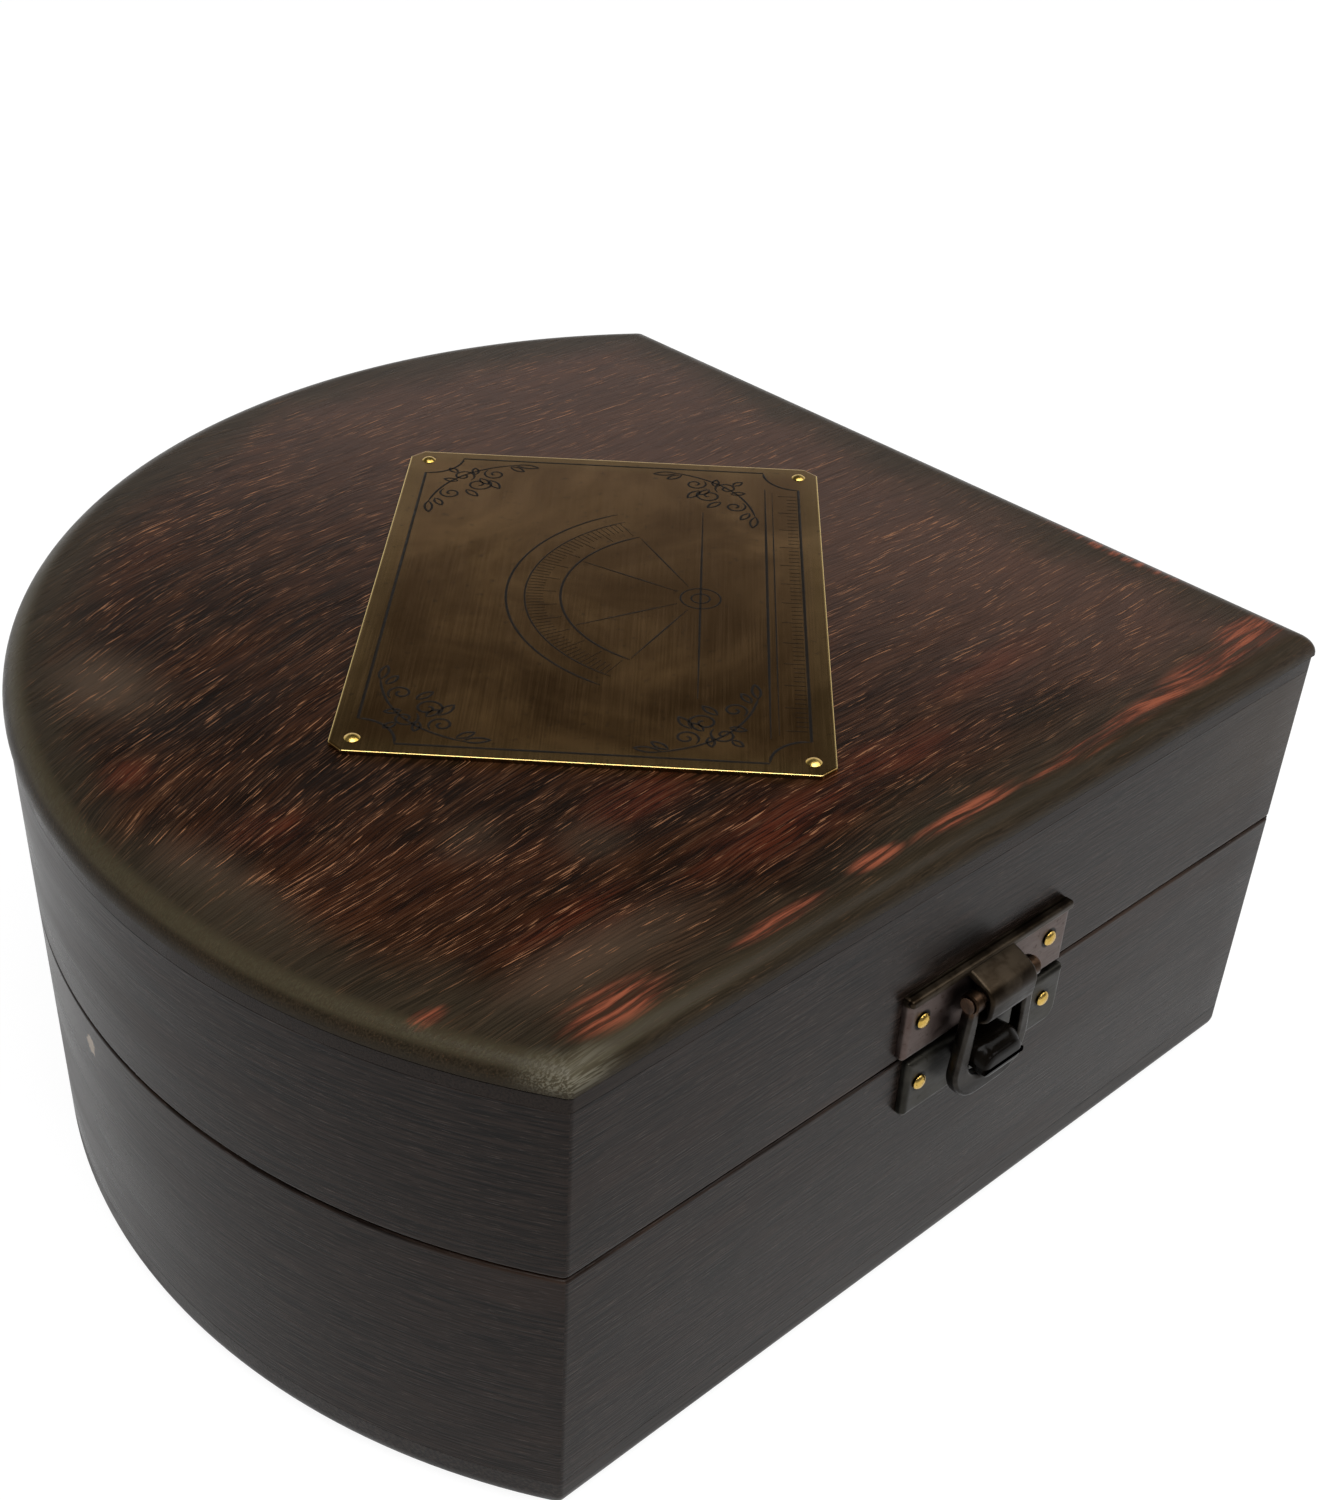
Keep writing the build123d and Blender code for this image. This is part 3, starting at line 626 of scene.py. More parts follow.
for body, joint, seam in (("base", BOARD, BASE_TOP), ("lid", TOP - BOARD, LID_FOOT)):
    wall(f"{body}_front_wall", "front", joint, seam, body, 24)
    wall(f"{body}_curved_wall", "round", joint, seam, body, 180)

# %% [markdown]
# ## Top board and floor board
# Each board is cut to the outline and its outer edge is turned over with a radius of nearly three millimetres. Its
# surface is one grid: rings of the outline, stepped inwards along the rounded edge, then shrunk to a point.

# %% Boards


def rings(insets, heights, sanded=1.0, counts=(24, 24, 120)):
    """Rings of the whole outline: one row for each inset and height, with the columns of the three stretches side by
    side."""
    insets = np.asarray(insets, float)[:, None]
    around = []
    for stretch, count in zip(("front", "side", "round"), counts):
        t, cut = columns_of(stretch, count)
        around.append(on_plan(stretch, insets + sanded * cut[None], t[None]))
    return raised(np.concatenate(around, 1), heights)


MIDDLE = np.array([-8.0, 8.0, 0.0])


def shrink_to_middle(ring, steps):
    """Copies of a ring, each one the share of the way to the middle of the plan that steps says."""
    steps = np.asarray(steps, float)[:, None, None]
    flat = ring * [1, 1, 0]
    return flat * (1 - steps) + MIDDLE * steps + ring * [0, 0, 1]


def board(name, inside, outside, body, finish, bead=0.0):
    """A board from its inner to its outer face: inner face, joint, edge face, quarter round, outer face. The round
    starts bead proud of the edge face, over a small quirk."""
    up = 1 if outside > inside else -1
    a = np.linspace(0, pi / 2, 13)
    round_inset = (EDGE_ROUND + bead) * (1 - np.cos(a)) - bead
    round_height = outside - up * EDGE_ROUND * (1 - np.sin(a))
    quirk = outside - up * EDGE_ROUND
    upright = [0.5, 0.04, 0.0, 0.0, 0.0, 0.3 * bead, 0.3 * bead, -0.7 * bead]
    insets = np.concatenate([upright, round_inset, [EDGE_ROUND + 0.4, WALL]])
    heights = np.concatenate([
        [inside, inside, inside + up * 0.04, inside + up * 0.3],
        quirk - up * np.array([0.36, 0.3, 0.2, 0.08]),
        round_height,
        [outside, outside],
    ])
    edge = rings(insets, heights)
    grid = np.concatenate([
        shrink_to_middle(edge[0], [1.0, 0.6, 0.25]),
        edge,
        shrink_to_middle(edge[-1], [0.25, 0.6, 1.0]),
    ])
    return make_piece(name, shell(grid, capped=False), body, finish)


def underside_finish():
    """The floor board: dark spray on the rounded edge, thin stain with the wood showing on the underside."""
    wood = Finish("underside_stain")
    z = wood.parts(wood.place)[2]
    lines = wood.noise((0.09, 2.6, 2.6), rough=0.6)
    band = wood.noise((0.012, 0.08, 0.08), detail=4.0, rough=0.6)
    dark = wood.blend(lines.ease(0.35, 0.68), (0.0075, 0.0055, 0.0045), (0.029, 0.0205, 0.0165))
    thin = wood.blend(band.ease(0.3, 0.7), (0.035, 0.017, 0.009), (0.075, 0.036, 0.018))
    thin = wood.blend(lines.ease(0.5, 0.75) * 0.6, thin, (0.018, 0.009, 0.006))
    scuffed = wood.noise(0.04, detail=4.0).ease(0.5, 0.66) * z.ease(1.2, 0.2)
    colour = wood.coats(
        dark,
        (edge_distance(wood).ease(2.0, 9.0) * z.ease(0.4, 0.1), thin),
        (scuffed * 0.35, (0.11, 0.06, 0.034)),
    )
    rough = band.ease(0.3, 0.7, 0.3, 0.45)
    return wood.dress(colour, rough, bump=lines, bump_depth=0.04, IOR=1.5, Specular_IOR_Level=0.2)


board("lid_top_board", TOP - BOARD, TOP, "lid", lid_wood, bead=0.25)
board("base_floor_board", BOARD, 0.0, "base", underside_finish())

# %% [markdown]
# ## Velvet linings
# The inside was never photographed. Boxes like this are lined with wine-red velvet over thin card: a pad on each
# board and a strip round the walls. Velvet looks lighter where its pile is seen from the side, which is what the
# sheen of the shader does, and its pile never lies evenly, so slow noise moves the colour.

# %% Velvet


def velvet_finish():
    cloth = Finish("wine_velvet")
    brushed = cloth.noise(0.045, detail=4.0, rough=0.6, warp=0.6)
    pile = cloth.noise(2.6, detail=2.0)
    colour = cloth.blend(brushed.ease(0.35, 0.68), (0.052, 0.004, 0.009), (0.105, 0.01, 0.019))
    colour = cloth.blend(pile.ease(0.4, 0.75) * 0.4, colour, (0.17, 0.022, 0.036))
    return cloth.dress(
        colour, brushed.ease(0.3, 0.7, 0.78, 0.95), bump=pile, bump_depth=0.12,
        Sheen_Weight=0.7, Sheen_Roughness=0.4, Sheen_Tint=(0.75, 0.22, 0.28, 1.0), Specular_IOR_Level=0.2,
    )


velvet = velvet_finish()
LINED = WALL + 0.1  # the linings start this far in from the outline
CARD, PAD_EDGE = 1.0, 0.8  # thickness of a strip, radius of a pad's rolled edge


def soft_swell(x, y, depth):
    """A slow, uneven swell: three crossed sines of different length, times depth."""
    swell = np.sin(x * 0.21 + 1.0) * np.cos(y * 0.17) + 0.6 * np.sin((x + y) * 0.33) + 0.4 * np.cos(x * 0.5 - y * 0.41)
    return depth * swell / 2


def pad(name, board_face, body, up):
    """A pad on a board: flat back, straight side, rolled edge of radius PAD_EDGE and a crown that rises towards the
    middle, all within the two millimetres that the pad is thick."""
    a = np.linspace(0, pi / 2, 7)
    insets = LINED + np.concatenate([[0.5, 0.1, 0.0], PAD_EDGE * (1 - np.cos(a))])
    lift = np.concatenate([[0.0, 0.0, 0.25], 0.95 + PAD_EDGE * np.sin(a)])
    edge = rings(insets, board_face + up * lift, sanded=0.5, counts=(60, 60, 140))
    steps = np.linspace(0.02, 1, 30)
    top = shrink_to_middle(edge[-1], steps)
    rise = 0.22 * (1 - (1 - steps[:, None]) ** 3)
    top[..., 2] += up * (rise + soft_swell(top[..., 0], top[..., 1], 0.05) * np.minimum(1, steps[:, None] * 6))
    top[-1] = top[-1].mean(0)
    grid = np.concatenate([shrink_to_middle(edge[0], [1.0, 0.5]), edge, top])
    piece = make_piece(name, shell(grid, capped=False), body, velvet, sharp=60)
    return piece


def strip(name, low, high, body):
    """A strip round the walls: a thin rounded section carried round the whole outline, its open face swelling."""
    face = LINED + CARD
    section = rounded([(LINED, low), (LINED, high), (face, high), (face, low)], [0.1, 0.35, 0.45, 0.3])
    levels = np.linspace(0.06, 0.94, 12)
    open_side = 3 * 7  # each corner of the section has seven points
    more = np.stack([np.full(12, face), high + (low - high) * levels], -1)
    section = np.concatenate([section[:open_side], more, section[open_side:]])
    grid = rings(section[:, 0], section[:, 1], sanded=0.0, counts=(60, 60, 140))
    x, y, z = np.moveaxis(grid, -1, 0)
    outward = np.stack([x, y], -1) / np.hypot(x, y)[..., None]
    free = (section[:, 0] > face - 0.2)[:, None]
    grid[..., :2] += outward * (soft_swell(x + 2 * z, y, 0.1) * free)[..., None]
    piece = make_piece(name, shell(grid, wrap_rows=True), body, velvet, sharp=60)
    return piece


pad("base_floor_lining", BOARD, "base", 1)
pad("lid_top_lining", TOP - BOARD, "lid", -1)
strip("base_wall_lining", 7.1, 37.5, "base")
strip("lid_wall_lining", 39.8, 59.9, "lid")

# %% [markdown]
# ## Metal finishes
# Old brass is bright only where hands polish it: the rest has an olive-brown film, darker in the hollows. The latch
# is steel with a dark, slightly purple film, a little rust at the eyes and a black enamelled hook. All are one recipe
# with different colours: a film colour that drifts slowly, fine scratches in the roughness, and spots.

# %% One recipe for worn metal


def worn_metal(
    name, film, bare, spots, rough=(0.25, 0.45), cells=0.3, metal=1.0, depth=0.01, over=None, **constants
):
    """A film colour that gives way to a barer one in slow clouds, cells of them in a millimetre, with small spots.
    over may add coats."""
    worn = Finish(name)
    drift = worn.noise(cells, detail=4.0, rough=0.6, warp=0.3)
    speck = worn.noise(cells * 5)
    brush = worn.noise((0.4, 3.0, 3.0), detail=2.0)
    colour = worn.coats(
        film,
        (drift.ease(0.35, 0.68), bare),
        (speck.ease(0.6, 0.72) * 0.8, spots),
        *(over(worn, drift) if over else []),
    )
    polish = (drift * 0.6 + brush * 0.4).ease(0.35, 0.65, *rough)
    relief = speck * 0.5 + brush * 0.5
    return worn.dress(colour, polish, metal, bump=relief, bump_depth=depth, **constants)


LATCH_X, FRONT = -9.9, -53.1
LID_NAILS = [(LATCH_X + side * 11.5, 44.9) for side in (-1, 1)]
BASE_NAILS = [(LATCH_X + 1.15 + side * 11.5, 34.75) for side in (-1, 1)]


def painted_shade_on(worn, nails):
    """Painted shade: dark rings round the nail heads, seen from the front, and a dark patch on the plates behind the
    hook.
    """
    # painted shade in the gap round each nail head
    nail_shade_rings = [
        (worn.reach((x, 0, z), (1, 0, 1)).ease(1.5, 1.2), (0.006, 0.005, 0.004)) for x, z in nails
    ]
    behind = worn.parts(worn.place)[1].ease(-55.1, -54.5)
    # painted shade on the plates behind the hook, where the loop and hook overhang them
    hook_shade = worn.reach((LATCH_X, 0, BASE_TOP), (0.15, 0, 0.21)).ease(1.1, 0.5, 0.0, 0.9) * behind
    return nail_shade_rings, (hook_shade, (0.008, 0.0065, 0.005))


def upper_plate_coats(worn, drift):
    """The folded rim and the top of the knuckle stand further out and are brown, the front of the knuckle is nearly
    black, and the lower edge is rubbed."""
    _, y, z = worn.parts(worn.place)
    nail_shade, hook_shade = painted_shade_on(worn, LID_NAILS)
    proud = y.ease(-54.38, -54.55).most(z.ease(47.6, 47.8))
    brown = worn.blend(drift.ease(0.35, 0.65), (0.022, 0.015, 0.009), (0.056, 0.042, 0.028))
    front = y.ease(-54.9, -55.3) * z.ease(46.4, 44.0) * z.ease(42.2, 43.0)
    rubbed = z.ease(40.3, 39.6) * drift.ease(0.3, 0.6)
    # The rings round the nails and the patch behind the hook are painted shade.
    return [
        *nail_shade, (proud, brown), (front * 0.9, (0.01, 0.008, 0.0065)), hook_shade,
        (rubbed * 0.5, (0.18, 0.15, 0.13)),
    ]


def lower_plate_coats(worn, drift):
    """Painted shade round the nails and behind the hook, darker towards the bottom edge, and bare metal along the cut
    edges.
    """
    x, _, z = worn.parts(worn.place)
    nail_shade, hook_shade = painted_shade_on(worn, BASE_NAILS)
    rubbed = z.ease(30.6, 30.1).most(x.ease(5.6, 6.1)) * drift.ease(0.25, 0.5)
    # The rings round the nails and the patch behind the hook are painted shade.
    return [
        *nail_shade, hook_shade, (z.ease(31.4, 29.9, 0.0, 0.6), (0.012, 0.011, 0.009)),
        (rubbed * 0.6, (0.17, 0.16, 0.14)),
    ]


def loop_coats(worn, drift):
    """Painted shade on the bar, which hangs under the hook, and rust at the top of the arms, where the eyes turn on the
    pin.
    """
    z = worn.parts(worn.place)[2]
    rust = worn.blend(drift.ease(0.35, 0.65), (0.03, 0.017, 0.0095), (0.085, 0.046, 0.025))
    # the first coat is painted shade on the bar, under the hook
    return [(z.ease(34.5, 32.0, 0.0, 0.7), (0.008, 0.0065, 0.0055)), (z.ease(43.2, 44.6) * 0.8, rust)]


plate_steel = worn_metal(
    "purple_brown_steel", (0.088, 0.062, 0.054), (0.135, 0.104, 0.094), (0.05, 0.028, 0.018), (0.34, 0.52),
    over=upper_plate_coats,
)
lower_steel = worn_metal(
    "grey_green_steel", (0.025, 0.0235, 0.0195), (0.048, 0.045, 0.0375), (0.022, 0.018, 0.014), (0.34, 0.52),
    over=lower_plate_coats,
)
loop_steel = worn_metal(
    "dark_steel", (0.016, 0.0135, 0.0115), (0.042, 0.0375, 0.032), (0.022, 0.012, 0.007), (0.26, 0.42),
    over=loop_coats,
)
rusty_steel = worn_metal(
    "rusty_steel", (0.05, 0.028, 0.016), (0.1, 0.05, 0.026), (0.02, 0.012, 0.009), (0.6, 0.85),
    cells=0.9, metal=0.35, depth=0.05,
)
hook_enamel = worn_metal(
    "black_enamel", (0.003, 0.0022, 0.0015), (0.0055, 0.0042, 0.003), (0.003, 0.002, 0.002), (0.14, 0.24),
    cells=0.22, metal=0.0, depth=0.006, Specular_IOR_Level=0.08,
)
bright_brass = worn_metal(
    "bright_brass", (0.56, 0.365, 0.08), (0.8, 0.55, 0.16), (0.26, 0.16, 0.04), (0.2, 0.34), cells=0.7
)
old_brass = worn_metal(
    "old_brass", (0.24, 0.165, 0.062), (0.42, 0.3, 0.12), (0.11, 0.07, 0.03), (0.28, 0.45), cells=0.25
)
refinish(["name_plate_pins"], bright_brass)
refinish(["hinge_base_leaves", "hinge_lid_leaves", "hinge_pins", "hinge_base_screws", "hinge_lid_screws"], old_brass)
print("finishes so far:", [material.name for material in bpy.data.materials])

# %% [markdown]
# ## Stacked outlines
# A plate, a pin or a loop is an outline repeated at several heights, a little smaller where an edge is rounded. One
# function shrinks an outline along its own normals, one stacks the copies, and a third puts the result
# in place with three axes. That is enough for every metal piece here.

# %% Outlines in a stack


def shrink(path, inset):
    """Moves a closed path inwards: each point along (n1 + n2) / (1 + n1.n2), the mitre of the normals beside it."""
    normal = left_of(unit(np.roll(path, -1, 0) - path))
    if ((path[:, 0] * np.roll(path[:, 1], -1) - path[:, 1] * np.roll(path[:, 0], -1)).sum()) < 0:
        normal = -normal
    before = np.roll(normal, 1, 0)
    mitre = (before + normal) / np.maximum(1 + (before * normal).sum(1), 0.4)[:, None]
    return path + inset * mitre


def rounded_inset(corners, radii, inset, steps=6):
    """A rounded outline moved inwards: its corners go in along their mitres, outer radii shrink and inner ones grow."""
    corners = np.asarray(corners, float)
    ahead, back = np.roll(corners, -1, 0) - corners, corners - np.roll(corners, 1, 0)
    bend = back[:, 0] * ahead[:, 1] - back[:, 1] * ahead[:, 0]
    outer = bend * np.sign(bend.sum()) > 0
    radii = np.asarray(radii) + np.where(outer, -inset, inset)
    return rounded(shrink(corners, inset), np.maximum(radii, 0.02), steps)


def stacked(path, rows, origin, across, along, out, radii=None, steps=6):
    """A closed stack of one outline: each row is the outline moved in by the row's inset, at the row's height. A point
    (a, b) at height h goes to origin + a across + b along + h out."""
    if radii is None:
        outlines = np.stack([shrink(path, inset) for inset, _ in rows])
    else:
        outlines = np.stack([rounded_inset(path, radii, inset, steps) for inset, _ in rows])
    heights = np.array([height for _, height in rows])[:, None, None]
    across, along, out = (np.asarray(axis, float) for axis in (across, along, out))
    grid = origin + outlines[..., :1] * across + outlines[..., 1:] * along + heights * out
    return shell(grid)


def eased_rows(low, high, radius, steps=4, hold=0.3, foot=None):
    """Rows from low to high with both ends rounded by radius (foot for the low end): inset r (1 - cos a)."""
    foot = radius if foot is None else foot
    a = np.linspace(0, pi / 2, steps + 1)
    lower = [(foot * (1 - sin(b)), low + foot * (1 - cos(b))) for b in a]
    upper = [(radius * (1 - cos(b)), high - radius * (1 - sin(b))) for b in a]
    return [(foot + hold, low), *lower, *upper, (radius + hold, high)]


def turned(profile, origin, axis, side, count=40, ring=False):
    """A turned piece: radius r at distance d along the axis gives a circle r (cos a, sin a) about the axis. A ring
    joins its last circle to its first."""
    radius, distance = (np.asarray(column, float)[:, None, None] for column in zip(*profile))
    axis, side = np.asarray(axis, float), np.asarray(side, float)
    third = np.cross(axis, side)
    a = np.linspace(0, tau, count, endpoint=False)[None, :, None]
    grid = origin + distance * axis + radius * (np.cos(a) * side + np.sin(a) * third)
    return shell(grid, wrap_rows=ring, capped=False)


X, Y, Z = np.eye(3)
print("ring of a pin:", len(eased_rows(0, 1, 0.2)), "rows")

# %% [markdown]
# ## The name plate
# A sheet of brass with clipped corners and a bright cut edge, held by four small pins. It lies square to the diagonal
# of the box. Its face was lacquered over an antique film, so it mirrors the room softly, and rolled sheet is never
# quite flat, which bends the reflections.

# %% Name plate
PLATE_HALF = np.array([77.8, 58.3]) / 2
PLATE_MIDDLE = np.array([-17 / sqrt(2), 17 / sqrt(2), TOP])
PLATE_U, PLATE_V = (X + Y) / sqrt(2), (Y - X) / sqrt(2)
CLIP = 1.8


def plate_brass_finish():
    """Antique film in clouds, specks, a bright cut edge, and scratches along the plate."""
    brass = Finish("name_plate_brass")
    from_middle = brass.vector("SUBTRACT", brass.place, tuple(PLATE_MIDDLE))
    u, v = (brass.vector("DOT_PRODUCT", from_middle, tuple(axis), 1) for axis in (PLATE_U, PLATE_V))
    rim = (u.size() - PLATE_HALF[0]).most(v.size() - PLATE_HALF[1])
    cloud = brass.noise(0.038, detail=4.0, rough=0.6, warp=0.8)
    speck = brass.noise(0.9)
    scratch = brass.noise((0.06, 5.2, 0.0), brass.node("CombineXYZ", None, {0: u, 1: v}), detail=2.0)
    colour = brass.coats(
        (0.215, 0.106, 0.027),
        (cloud.ease(0.34, 0.68), (0.375, 0.205, 0.066)),
        (rim.ease(-4.5, -0.6) * 0.5, (0.38, 0.24, 0.08)),
        (speck.ease(0.6, 0.74) * 0.5, (0.09, 0.05, 0.018)),
        (rim.ease(-0.3, -0.16), (0.7, 0.5, 0.18)),
        (rim.ease(-0.06, -0.01), (0.2, 0.13, 0.045)),
    )
    rough = (cloud * 0.5 + scratch * 0.5).ease(0.35, 0.65, 0.16, 0.27)
    wave = brass.noise(0.03, detail=1.0) * 8.0 + scratch * 0.05 + speck * 0.05
    return brass.dress(colour, rough, 1.0, bump=wave, bump_depth=0.02)


plate_corners = [
    (sx * (PLATE_HALF[0] - (CLIP if first else 0)), sy * (PLATE_HALF[1] - (0 if first else CLIP)))
    for sx, sy, order in ((-1, -1, (0, 1)), (1, -1, (1, 0)), (1, 1, (0, 1)), (-1, 1, (1, 0)))
    for first in order
]
plate_rows = eased_rows(0.0, 0.6, 0.16, 3, 0.2, foot=0.04)
plate_shape = stacked(plate_corners, plate_rows, PLATE_MIDDLE, PLATE_U, PLATE_V, Z, [0.25] * 8, 3)
make_piece("name_plate", plate_shape, "lid", plate_brass_finish())

# %% [markdown]
# ## Engraving
# The plate is left without writing. It has a frame with hollow corners, a strip of plain graduations, a common vine
# scroll in each corner and a divided arc. Each cut is a very thin dark ribbon that lies on the brass, which reads as
# an engraved line filled with wax.

# %% Lines as ribbons


def ribbon(path, width, closed=False):
    """A flat closed strip along a path: each point moves half the width to both sides along the path's normal, and
    the ends taper."""
    path = np.asarray(path, float)
    step = np.roll(path, -1, 0) - np.roll(path, 1, 0) if closed else np.gradient(path, axis=0)
    normal = left_of(unit(step))
    half = np.full(len(path), width / 2)
    if not closed:
        half *= np.minimum(1, 0.35 + np.minimum(np.arange(len(path)), np.arange(len(path))[::-1]) * 0.3)
    sides = [(-1, 0.59), (-0.6, 0.622), (0.6, 0.622), (1, 0.59)]
    rows = [
        (path + normal * (half * share)[:, None]) @ np.array([PLATE_U, PLATE_V]) + Z * lift for share, lift in sides
    ]
    return shell(PLATE_MIDDLE + np.stack(rows), wrap_rows=True, wrap_columns=closed)


def curl(centre, radius, start, turns, side=1, count=26, tight=0.16):
    """A spiral: the radius falls from its full size to the share tight while the angle goes round."""
    s = np.linspace(0, 1, count)
    return centre + polar(radius * (1 - (1 - tight) * s), start + side * turns * tau * s)


def bow(start, end, bulge, count=18):
    """An arc-like line: the straight one pushed sideways by bulge x 4 s (1 - s)."""
    start, end = np.asarray(start, float), np.asarray(end, float)
    s = np.linspace(0, 1, count)[:, None]
    along = end - start
    return start + along * s + left_of(along) * bulge * 4 * s * (1 - s)


def leaf(tip, root, fat, count=12):
    """A leaf: two bows from root to tip, and back."""
    return np.concatenate([bow(root, tip, fat, count), bow(tip, root, fat, count)[1:]])


def frame_line(low_u, high_u, low_v, high_v, hollow):
    """A rectangle whose corners are hollow quarter circles round the pins."""
    turn = polar(hollow, np.linspace(0, pi / 2, 12))
    return np.concatenate([
        (turn * [1, 1] + [low_u, low_v])[::-1],
        turn * [-1, 1] + [high_u, low_v],
        (turn * [-1, -1] + [high_u, high_v])[::-1],
        turn * [1, -1] + [low_u, high_v],
    ])


print("curl points:", len(curl((0, 0), 2, 0, 1)))

# %% The engraved design


def corner_scroll(u, v, su, sv):
    """A vine across one corner: a stem that bows inwards, four curls beside it and leaves between them."""
    curls = (
        ((4.2, 9.6), 1.6, -2.3, 1), ((7.6, 7.6), 1.9, 2.2, -1), ((10.6, 4.0), 1.6, -2.4, 1), ((5.2, 5.2), 1.7, 0.8, 1),
    )
    leaves = (
        ((1.6, 15.6), (1.1, 12.4), 0.16), ((3.0, 13.6), (1.6, 11.6), 0.2), ((16.6, 1.6), (13.4, 1.2), 0.16),
        ((14.4, 3.2), (12.4, 2.0), 0.2), ((8.6, 10.6), (6.2, 9.0), 0.2), ((11.2, 7.8), (9.4, 6.0), 0.2),
        ((2.6, 6.6), (4.6, 6.9), 0.22), ((6.4, 2.6), (6.8, 4.6), 0.22), ((3.0, 3.0), (4.2, 4.3), 0.25),
        ((7.4, 9.0), (5.8, 7.6), 0.22),
    )
    lines = [bow((1.0, 12.5), (13.5, 1.2), -0.16, 30)]
    lines += [curl(centre, radius, start, 1.35, side) for centre, radius, start, side in curls]
    lines += [leaf(tip, root, fat) for tip, root, fat in leaves]
    return [line * [su, sv] + [u, v] for line in lines]


def level(v, reach, count=9):
    """A line along the plate."""
    return [(u, v) for u in np.linspace(-reach, reach, count)]


ARC_FOOT = np.array([0.0, -13.0])
ARC_ENDS = radians(28), radians(152)
cuts = [ribbon(frame_line(-37.0, 37.0, -26.3, 26.4, 4.9), 0.42, closed=True)]
cuts += [ribbon(level(-21.6, 31.9), 0.4), ribbon(level(-22.6, 31), 0.2)]
cuts += [
    ribbon([(u, -26.0), (u, -24.6 if k % 5 else -23.4)], 0.26) for k, u in enumerate(np.linspace(-30, 30, 61))
]
for su, sv, v in ((1, 1, -21.4), (-1, 1, -21.4), (1, -1, 26.2), (-1, -1, 26.2)):
    cuts += [ribbon(line, 0.38) for line in corner_scroll(-36.8 * su, v, su, sv)]
for radius, width in ((25.0, 0.36), (22.6, 0.26), (18.0, 0.36)):
    cuts.append(ribbon(ARC_FOOT + polar(radius, np.linspace(*ARC_ENDS, 60)), width))
for k, a in enumerate(np.linspace(radians(30), radians(150), 61)):
    cuts.append(ribbon(ARC_FOOT + polar(np.array([20.2 if k % 5 else 18.6, 22.4]), a), 0.24))
for a in (ARC_ENDS[0], radians(62), radians(118), ARC_ENDS[1]):
    cuts.append(ribbon(ARC_FOOT + polar(np.linspace(3.4, 17.6, 6), a), 0.3))
cuts.append(ribbon(level(-13.0, 24, 8), 0.32))
for radius in (1.2, 2.6):
    cuts.append(ribbon(ARC_FOOT + polar(radius, np.linspace(0, tau, 40, endpoint=False)), 0.28, closed=True))

wax = worn_metal(
    "engraving_wax", (0.005, 0.0032, 0.002), (0.011, 0.007, 0.004), (0.004, 0.003, 0.002), (0.55, 0.75),
    cells=0.5, metal=0.0, Specular_IOR_Level=0.15,
)
make_piece("plate_engraving", join(cuts), "lid", wax)

# %% [markdown]
# ## The latch
# Two steel plates are nailed on the front, one each side of the seam. The upper one has a folded top edge and a strip
# that is rolled into a knuckle; the lower one carries a black hook. A bent loop hangs from the knuckle's pin and is
# pushed over the hook. Everything is drawn in the latch's own view: across, up, and out of the wood.

# %% Latch plates
AXIS_OUT, AXIS_Z = 3.2, 45.2
KNUCKLE_RADIUS, CURL_RADIUS, TANGENT = 2.2, 2.3, -0.071
STRIP_THICK, STRIP_HALF_WIDTH = 0.9, 4.1
LOOP_HALF_THICK, LOOP_HALF_OPENING = 0.85, 4.25
latch_origin = np.array([LATCH_X, FRONT, 0.0])
axis_point = latch_origin + [0, -AXIS_OUT, AXIS_Z]


def face_plate(middle, half_width, low, high, corner_radii):
    """A plate with wide soft bevels: the outline stacked outwards from the wood."""
    left, right = middle - half_width, middle + half_width
    corners = [(left, low), (right, low), (right, high), (left, high)]
    return stacked(corners, eased_rows(0.0, 1.2, 0.7, 6, 0.25, foot=0.05), latch_origin, X, Z, -Y, corner_radii)


def knuckle_line(inset, first, last, count=24):
    """The knuckle from the side: a circle about the pin from the angle first to the common tangent, then the circle
    of the curl, 1.4 lower, on to the angle last. inset makes both circles smaller."""
    over = polar(KNUCKLE_RADIUS - inset, np.linspace(first, TANGENT, count))
    under = polar(CURL_RADIUS - inset, np.linspace(TANGENT, last, count))
    return np.concatenate([over + [AXIS_OUT, AXIS_Z], under + [AXIS_OUT - 0.2, AXIS_Z - 1.4]])


def knuckle():
    """The rolled strip comes out under the rim, goes over the pin, hangs down and curls back to the plate. A core a
    little shorter than the strip closes its hollow."""
    outer = knuckle_line(0.0, 1.15, -2.7)
    inner = knuckle_line(STRIP_THICK, 1.45, -2.7)[::-1]
    path = np.concatenate([
        [(0.5, 48.3), (1.5, 48.25), (2.4, 47.95)], outer, inner, [(2.2, 46.9), (1.3, 47.2), (0.5, 47.3)]
    ])
    strip_rows = eased_rows(-STRIP_HALF_WIDTH, STRIP_HALF_WIDTH, 0.42, 5, 0.02)
    core_path = knuckle_line(STRIP_THICK - 0.05, pi - 0.213, -pi - 0.213)
    core_rows = eased_rows(-2.9, 2.9, 0.15, 2, 0.05)
    return [stacked(line, rows, latch_origin, -Y, Z, X) for line, rows in ((path, strip_rows), (core_path, core_rows))]


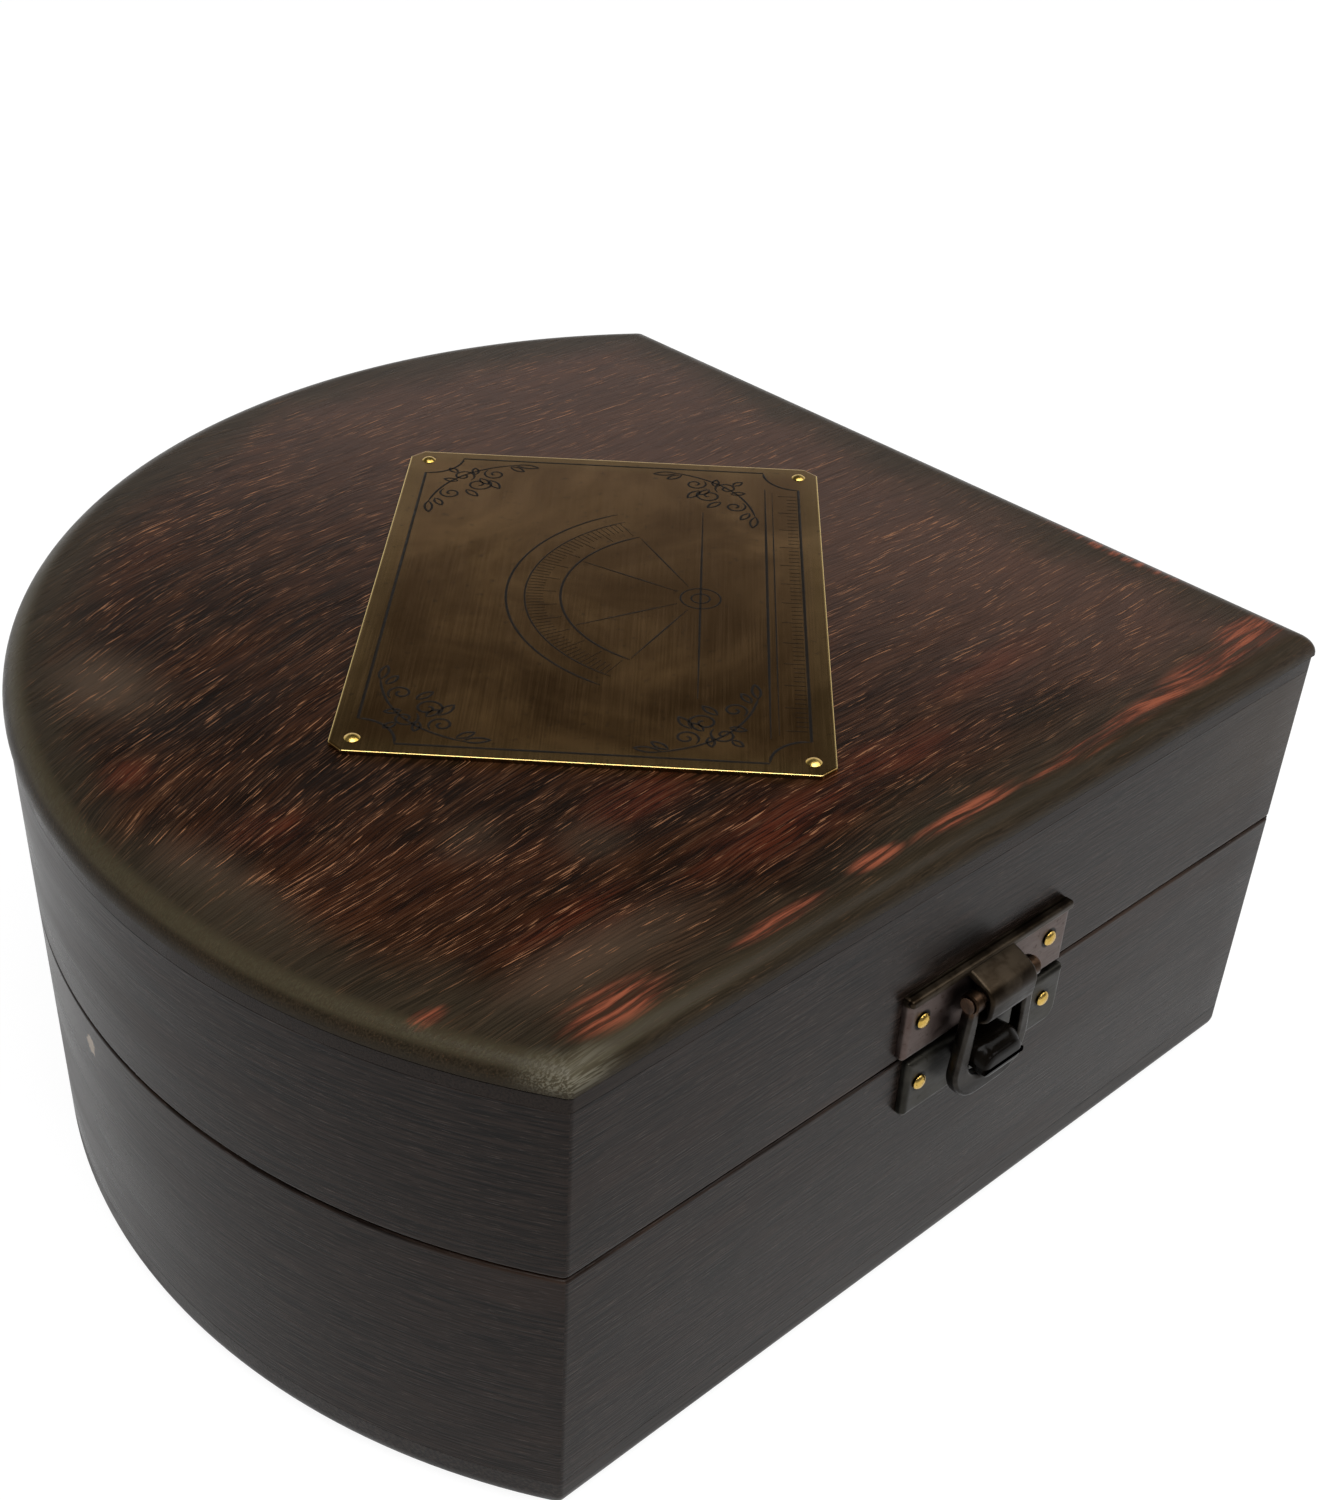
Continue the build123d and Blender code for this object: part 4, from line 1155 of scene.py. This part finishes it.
PLATE_TOP = 48.8
rim_corners = [(0.2, 47.65), (1.5, 47.65), (1.5, PLATE_TOP), (0.2, PLATE_TOP)]
rim = stacked(
    rim_corners, eased_rows(-14.0, 15.2, 0.2, 3, 0.05, foot=0.5), latch_origin, -Y, Z, X, [0.1, 0.3, 0.4, 0.1], 5
)
upper = face_plate(middle=0.6, half_width=14.6, low=39.6, high=PLATE_TOP, corner_radii=[0.35] * 4)
lower = face_plate(middle=1.9, half_width=14.35, low=29.9, high=38.3, corner_radii=[0.6, 1.9, 0.3, 0.3])
make_piece("lid_latch_plate", join([upper, rim, *knuckle()]), "lid", plate_steel)
make_piece("base_latch_plate", lower, "base", lower_steel)

# %% Latch nails
nail_side = [  # radius, and distance out of the wood
    (0, 1.85), (0.4, 1.83), (0.7, 1.73), (0.91, 1.57), (1.0, 1.41), (0.98, 1.31), (0.86, 1.24), (0.58, 1.22),
    (0.55, 1.0), (0.55, -5.0), (0, -5.3),
]
for name, body, nails in (("lid_latch_nails", "lid", LID_NAILS), ("base_latch_nails", "base", BASE_NAILS)):
    pair = [turned(nail_side, np.array([x, FRONT, z]), -Y, X, 32) for x, z in nails]
    make_piece(name, join(pair), body, bright_brass)

# %% Loop, pin and hook


def loop_shape():
    """The loop seen from the front: a U whose outer half width grows from 5.8 at the pin to 6.6 at the foot, where
    the left arm is splayed by one more, with its edges rounded by 0.5. Below the opening the bar leans out by
    0.4 x (share of the way down) squared, as a finger lip."""
    gap = LOOP_HALF_OPENING
    corners = [
        (-5.8, 0.7), (-7.6, -14.6), (6.6, -14.6), (5.8, 0.7), (gap, 0.7), (gap, -12.2), (-4.6, -12.2), (-gap, 0.7)
    ]
    radii = [0.6, 4.2, 5.0, 0.6, 0.4, 2.9, 2.9, 0.4]
    loop_rows = eased_rows(-LOOP_HALF_THICK, LOOP_HALF_THICK, 0.5, 5, 0.05)
    points, faces = stacked(corners, loop_rows, axis_point, X, Z, -Y, radii, 12)
    down = np.clip((AXIS_Z - 9.5 - points[:, 2]) / 4.4, 0, 1)
    points[:, 1] -= 0.4 * down**2
    return points, faces


eye_side = [(0.8, -0.74), (1.15, -0.775), (1.35, -0.6), (1.35, 0.6), (1.15, 0.775), (0.8, 0.74)]
loop_eyes = [turned(eye_side, axis_point + side * 5.025 * X, X, Z, ring=True) for side in (-1, 1)]
make_piece("hasp_loop", join([loop_shape(), *loop_eyes]), "hasp", loop_steel)

pin_side = [(0.75, -5.9), (0.92, -5.95), (1.0, -6.05), (1.0, -6.14), (0.9, -6.22), (0.5, -6.25), (0.0, -6.25)]
pin_profile = pin_side[::-1] + [(r, -d) for r, d in pin_side]
make_piece("hasp_pin", turned(pin_profile, axis_point, X, Z), "lid", rusty_steel)

HOOK_TOP, HOOK_FOOT, HOOK_OUT, HOOK_BEND, CROWN = 37.3, 34.2, 5.6, 2.2, 0.5


def hook_shape():
    """The hook is a row of outlines going out from the plate. Its top is level, then falls on a circle of radius
    HOOK_BEND; its underside drops to the lip; the sides draw in towards the end, which is domed. The enamel is
    CROWN thick on top."""
    outlines, outs = [], []
    for a in np.concatenate([[-1.0, -0.6, -0.2], np.linspace(0, 0.95, 12)]):
        out = HOOK_OUT - HOOK_BEND + (HOOK_BEND * sin(a) if a > 0 else 2.4 * a)
        top = HOOK_TOP + CROWN * np.clip((out - 1.4) / 1.6, 0, 1) - HOOK_BEND * (1 - cos(max(a, 0)))
        drop = np.clip((out - 3.7) / 0.9, 0, 1)
        low = HOOK_FOOT - 0.66 * drop**2 * (3 - 2 * drop)
        half = 4.0 - 0.6 * (max(out - 3.2, 0) / 2.4) ** 2
        corners = [(-half, low), (half, low), (half, top), (-half, top)]
        outlines.append(rounded(corners, (top - low) * np.array([0.38, 0.38, 0.58, 0.58]), 8))
        outs.append(out)
    last, end = outlines[-1], outs[-1]
    for b in np.linspace(0.2, 1.0, 7) * pi / 2:
        outlines.append(shrink(last, 0.95 * (1 - cos(b))))
        outs.append(end + (HOOK_OUT - end) * sin(b))
    return shell(latch_origin + np.stack(outlines) @ np.array([X, Z]) - np.array(outs)[:, None, None] * Y)


make_piece("latch_hook", hook_shape(), "base", hook_enamel)

# %% [markdown]
# ## The size
# The packed model sets the real size. The new surfaces have to stay in its box.
